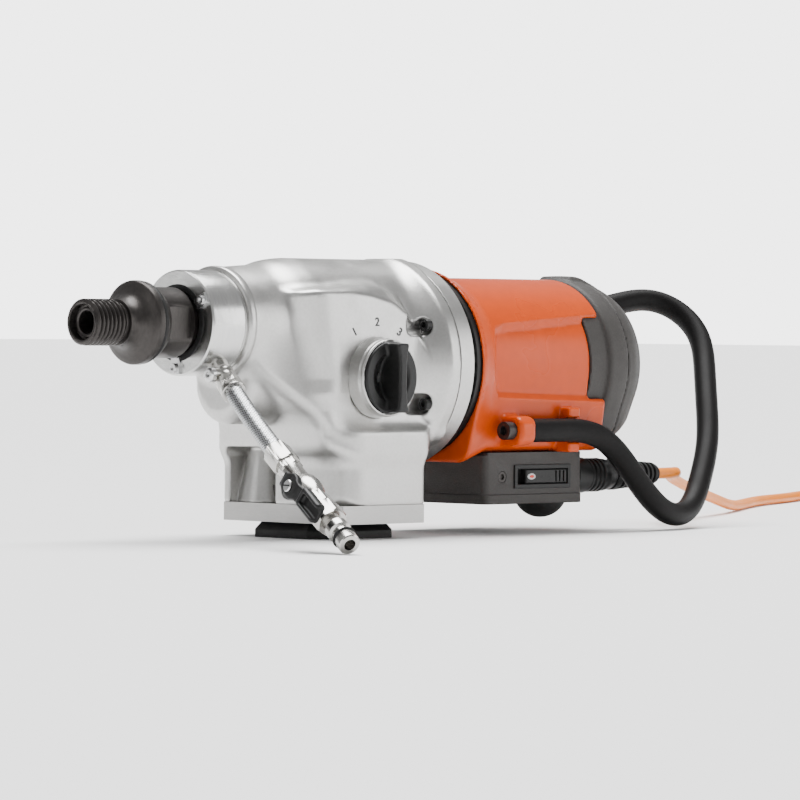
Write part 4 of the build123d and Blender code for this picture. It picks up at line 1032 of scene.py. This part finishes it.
# The coil: the radius of each row of turns, the height of each layer, and the degrees that a change takes.
COIL_ROWS = (0.0416, 0.0500, 0.0584)
COIL_LAYERS = (0.0044, 0.0127, 0.0210, 0.0293)
LAY_OVER = 60.0
# Where the winding changes, as (degrees wound, row, layer): in and out over the rows, one layer on another.
COIL_CHANGES = [(300, 1, 0), (660, 0, 0), (960, 0, 1), (1260, 1, 1), (1620, 2, 1), (1920, 2, 2), (2220, 1, 2),
                (2580, 0, 2), (2880, 0, 3), (3180, 1, 3), (3540, 2, 3)]
COIL_END = 3690
COIL_STEP = 20


def coil_points():
    """The cable's turns from where it reaches the coil to where it leaves for the plug."""
    low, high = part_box("cable_coil")
    centre = (low + high) / 2
    start = math.degrees(math.atan2(CABLE_ROUTE[-1][1] - centre.y, CABLE_ROUTE[-1][0] - centre.x))
    points = []
    for wound in range(COIL_STEP, COIL_END + 1, COIL_STEP):
        row, layer = COIL_ROWS[2], COIL_LAYERS[0]
        for at, new_row, new_layer in COIL_CHANGES:
            share = min(1.0, max(0.0, (wound - at) / LAY_OVER))
            share = share * share * (3 - 2 * share)
            row += (COIL_ROWS[new_row] - row) * share
            layer += (COIL_LAYERS[new_layer] - layer) * share
        angle = math.radians(start - wound)
        points.append((centre.x + row * math.cos(angle), centre.y + row * math.sin(angle), layer))
    return points, centre


def make_cord():
    turns, centre = coil_points()
    plug_low, plug_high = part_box("power_plug")
    plug_y = (plug_low.y + plug_high.y) / 2
    plug_z = (plug_low.z + plug_high.z) / 2
    leave = [(centre.x + 0.0583, centre.y + 0.0050, 0.0290), (centre.x + 0.0583, centre.y - 0.0300, 0.0270),
             (centre.x + 0.0480, centre.y - 0.0600, 0.0230), (centre.x + 0.0300, centre.y - 0.0770, 0.0200),
             (centre.x + 0.0100, plug_y, plug_z), (plug_high.x - 0.004, plug_y, plug_z)]
    cable = nurbs("mains_cable", CABLE_ROUTE + turns + leave, CABLE_R)
    cable.data.materials.append(FINISHES["cable"])
    cable.data.resolution_u = 4
    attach(cable, "machine")
    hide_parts("power_cable", "cable_coil")
    plug = make_plug(plug_high.x / MM, plug_y / MM, plug_z / MM)
    plug_pins(plug_low, plug_y, plug_z)


FLUTES = 18
FLUTE_DEPTH = 0.035
PIN_SHIFT = 9.5


def make_plug(rear, y, z):
    """The moulded plug: a ribbed neck, a shoulder, and a round body with grip flutes."""
    profile = [(0, 0.01), (0, 5.2), (0.8, 6)]
    for rib in range(4):
        at = 2.2 + rib * 3
        profile += [(at, 6.3 + rib * 0.5), (at + 0.4, 5.6 + rib * 0.5), (at + 1.4, 5.6 + rib * 0.5),
                    (at + 1.8, 6.6 + rib * 0.5)]
    profile += [(16, 9), (18, 13.5), (20, 17.4), (22, 18.5), (43, 18.5), (45, 17.8), (46, 16.6), (46, 0.01)]
    points, faces = turned(profile, steps=72)
    points = np.array(points)
    angle = np.arctan2(points[:, 1], points[:, 0])
    faded = np.clip((points[:, 2] - 22) / 3, 0, 1) * np.clip((40 - points[:, 2]) / 3, 0, 1)
    flute = 1 - FLUTE_DEPTH * (0.5 + 0.5 * np.cos(angle * FLUTES)) * faded
    points[:, :2] *= flute[:, None]
    return add_piece("mains_plug", *moved((points, faces), along((-1, 0, 0), (rear, y, z))), "rubber", "machine",
                     "black_rubber", ("power_plug",), 40)


def plug_pins(plug_low, y, z):
    pins = []
    for index, shift in enumerate((-PIN_SHIFT, PIN_SHIFT)):
        pin = turned([(-1, 2.4), (8, 2.4), (8.01, 2.3), (17.6, 2.3), (18.6, 1.8), (19, 1)], steps=24)
        place = along((-1, 0, 0), (plug_low.x / MM + 19, y / MM + shift, z / MM))
        pins.append(add_piece(f"plug_pin_{index + 1}", *moved(pin, place), "brass", "machine", "brass"))
    return pins


# -------------------- control box, gland and relief


def make_control_box():
    """The box, its lid, foot and switch, and the printed mark on the slide."""
    for node, surface, slot, width in (("control_box", "grey", "dark_plastic", 0.9),
                                       ("control_box_lid", "grey", "black_plastic", 1.2),
                                       ("switch_frame", "black", "black_plastic", 0.4),
                                       ("rear_foot", "rubber", "black_rubber", 0.5)):
        rounded_copy(node, surface, "machine", width)
    rounded_copy("switch_slider", "black", "switch", 0.5)
    low, high = box_mm("switch_slider")
    spot = along((0, -1, 0), (low.x + 5.5, low.y, (low.z + high.z) / 2))
    oval = turned([(0, 0.01), (0, 3.6), (0.35, 3.3), (0.35, 0.01)], steps=40)
    place = spot @ Matrix.Diagonal((1.15, 0.62, 1, 1))
    add_piece("slide_mark_ring", *moved(oval, place), "light_grey", "switch", "black_plastic")
    dot = turned([(0.3, 0.01), (0.3, 2.2), (0.5, 2.0), (0.5, 0.01)], steps=32)
    place = spot @ Matrix.Diagonal((1.15, 0.5, 1, 1))
    add_piece("slide_mark", *moved(dot, place), "red", "switch", "black_plastic")


def make_gland():
    """The ribbed gland nut and the segmented sleeve that the cable leaves through."""
    low, high = box_mm("cable_gland")
    centre = (low.y + high.y) / 2, (low.z + high.z) / 2
    x = low.x + 8
    profile = [(x - 8, 4.2), (x - 8, 8.9), (x, 8.9), (x, 12.6), (x + 0.5, 13), (x + 13.5, 13), (x + 14, 12.2)]
    for rib in range(4):
        at = x + 15 + rib * 4.5
        profile += [(at, 12.1), (at + 0.3, 12.4), (at + 2.4, 12.4), (at + 2.8, 11.2), (at + 4.1, 11.2)]
    profile += [(x + 34, 11.8), (x + 36, 11.8), (high.x, 10.5), (high.x, 4.2)]
    add_piece("gland_nut", *moved(turned(profile, closed=True), about_x(centre)), "black", "machine",
              "black_plastic", ("cable_gland",), 30)
    low, high = box_mm("strain_relief")
    profile = [(low.x, 4.2), (low.x, 11), (low.x + 0.5, 11.4), (low.x + 5.5, 11.4), (low.x + 6, 10.8)]
    ribs = 8
    for rib in range(ribs):
        at = low.x + 7.5 + rib * (high.x - low.x - 10) / ribs
        r = 11 - 2.9 * rib / ribs
        profile += [(at, r - 1.6), (at + 1.0, r - 1.6), (at + 1.4, r), (at + 3.6, r - 0.2), (at + 4.2, r - 1.4)]
    profile += [(high.x - 1.5, 7.4), (high.x, 6.6), (high.x, 4.2)]
    add_piece("cable_sleeve", *moved(turned(profile, closed=True), about_x(centre)), "rubber", "machine",
              "black_rubber", ("strain_relief",), 30)


# -------------------- everything that keeps its CAD shape

# Nodes shown with eased edges, as finish, material slot and bevel in millimetres.
EASED = {
    "base_plate": ("plate", "machined_aluminium", 0.7),
    "mounting_shoe": ("black", "shoe_black", 0.8),
    "intermediate_flange": ("cast", "cast_aluminium", 0.6),
    "water_elbow": ("chrome", "chrome", 0.3),
    "elbow_plug": ("steel", "black_plastic", 0.3),
    "seal_clips": ("steel", "bright_steel", 0.25),
    "collar_screws": ("steel", "bright_steel", 0.25),
    "collar_seals": ("rubber", "black_rubber", 0.3),
    "m8_screws": ("dark_steel", "dark_steel", 0.5),
    "flange_bolts": ("black", "dark_steel", 0.3),
    "rear_cover_screws": ("steel", "bright_steel", 0.3),
    "control_box_screws": ("dark_steel", "bright_steel", 0.2),
}

SLOT_FINISH = {
    "bright_steel": "steel", "dark_steel": "dark_steel", "chrome": "chrome", "cast_aluminium": "cast",
    "machined_aluminium": "machined", "orange_housing": "orange", "dark_plastic": "grey", "black_plastic": "black",
    "black_rubber": "rubber", "cable_orange": "cable", "braid": "wire", "brass": "brass", "gear_steel": "gear",
    "copper": "copper", "board_green": "board", "carbon": "carbon", "shoe_black": "black",
}


def finish_cad_nodes():
    """Every CAD node gets the procedural finish of its material slot."""
    slots = {s["node"]: s["material_slot"] for s in frame["record"]["subparts"]}
    for name, node in nodes.items():
        node.data.materials.clear()
        node.data.materials.append(FINISHES[SLOT_FINISH[slots[name]]])


make_camera()
make_cord()
make_hose()
make_studio()
finish_cad_nodes()
make_casting()
make_dial()
make_numerals()
make_intake()
make_motor_case()
make_spindle()
make_collar()
make_handle()
make_control_box()
make_gland()
for node_name, (surface_name, slot_name, edge_width) in EASED.items():
    rounded_copy(node_name, surface_name, "machine", edge_width)
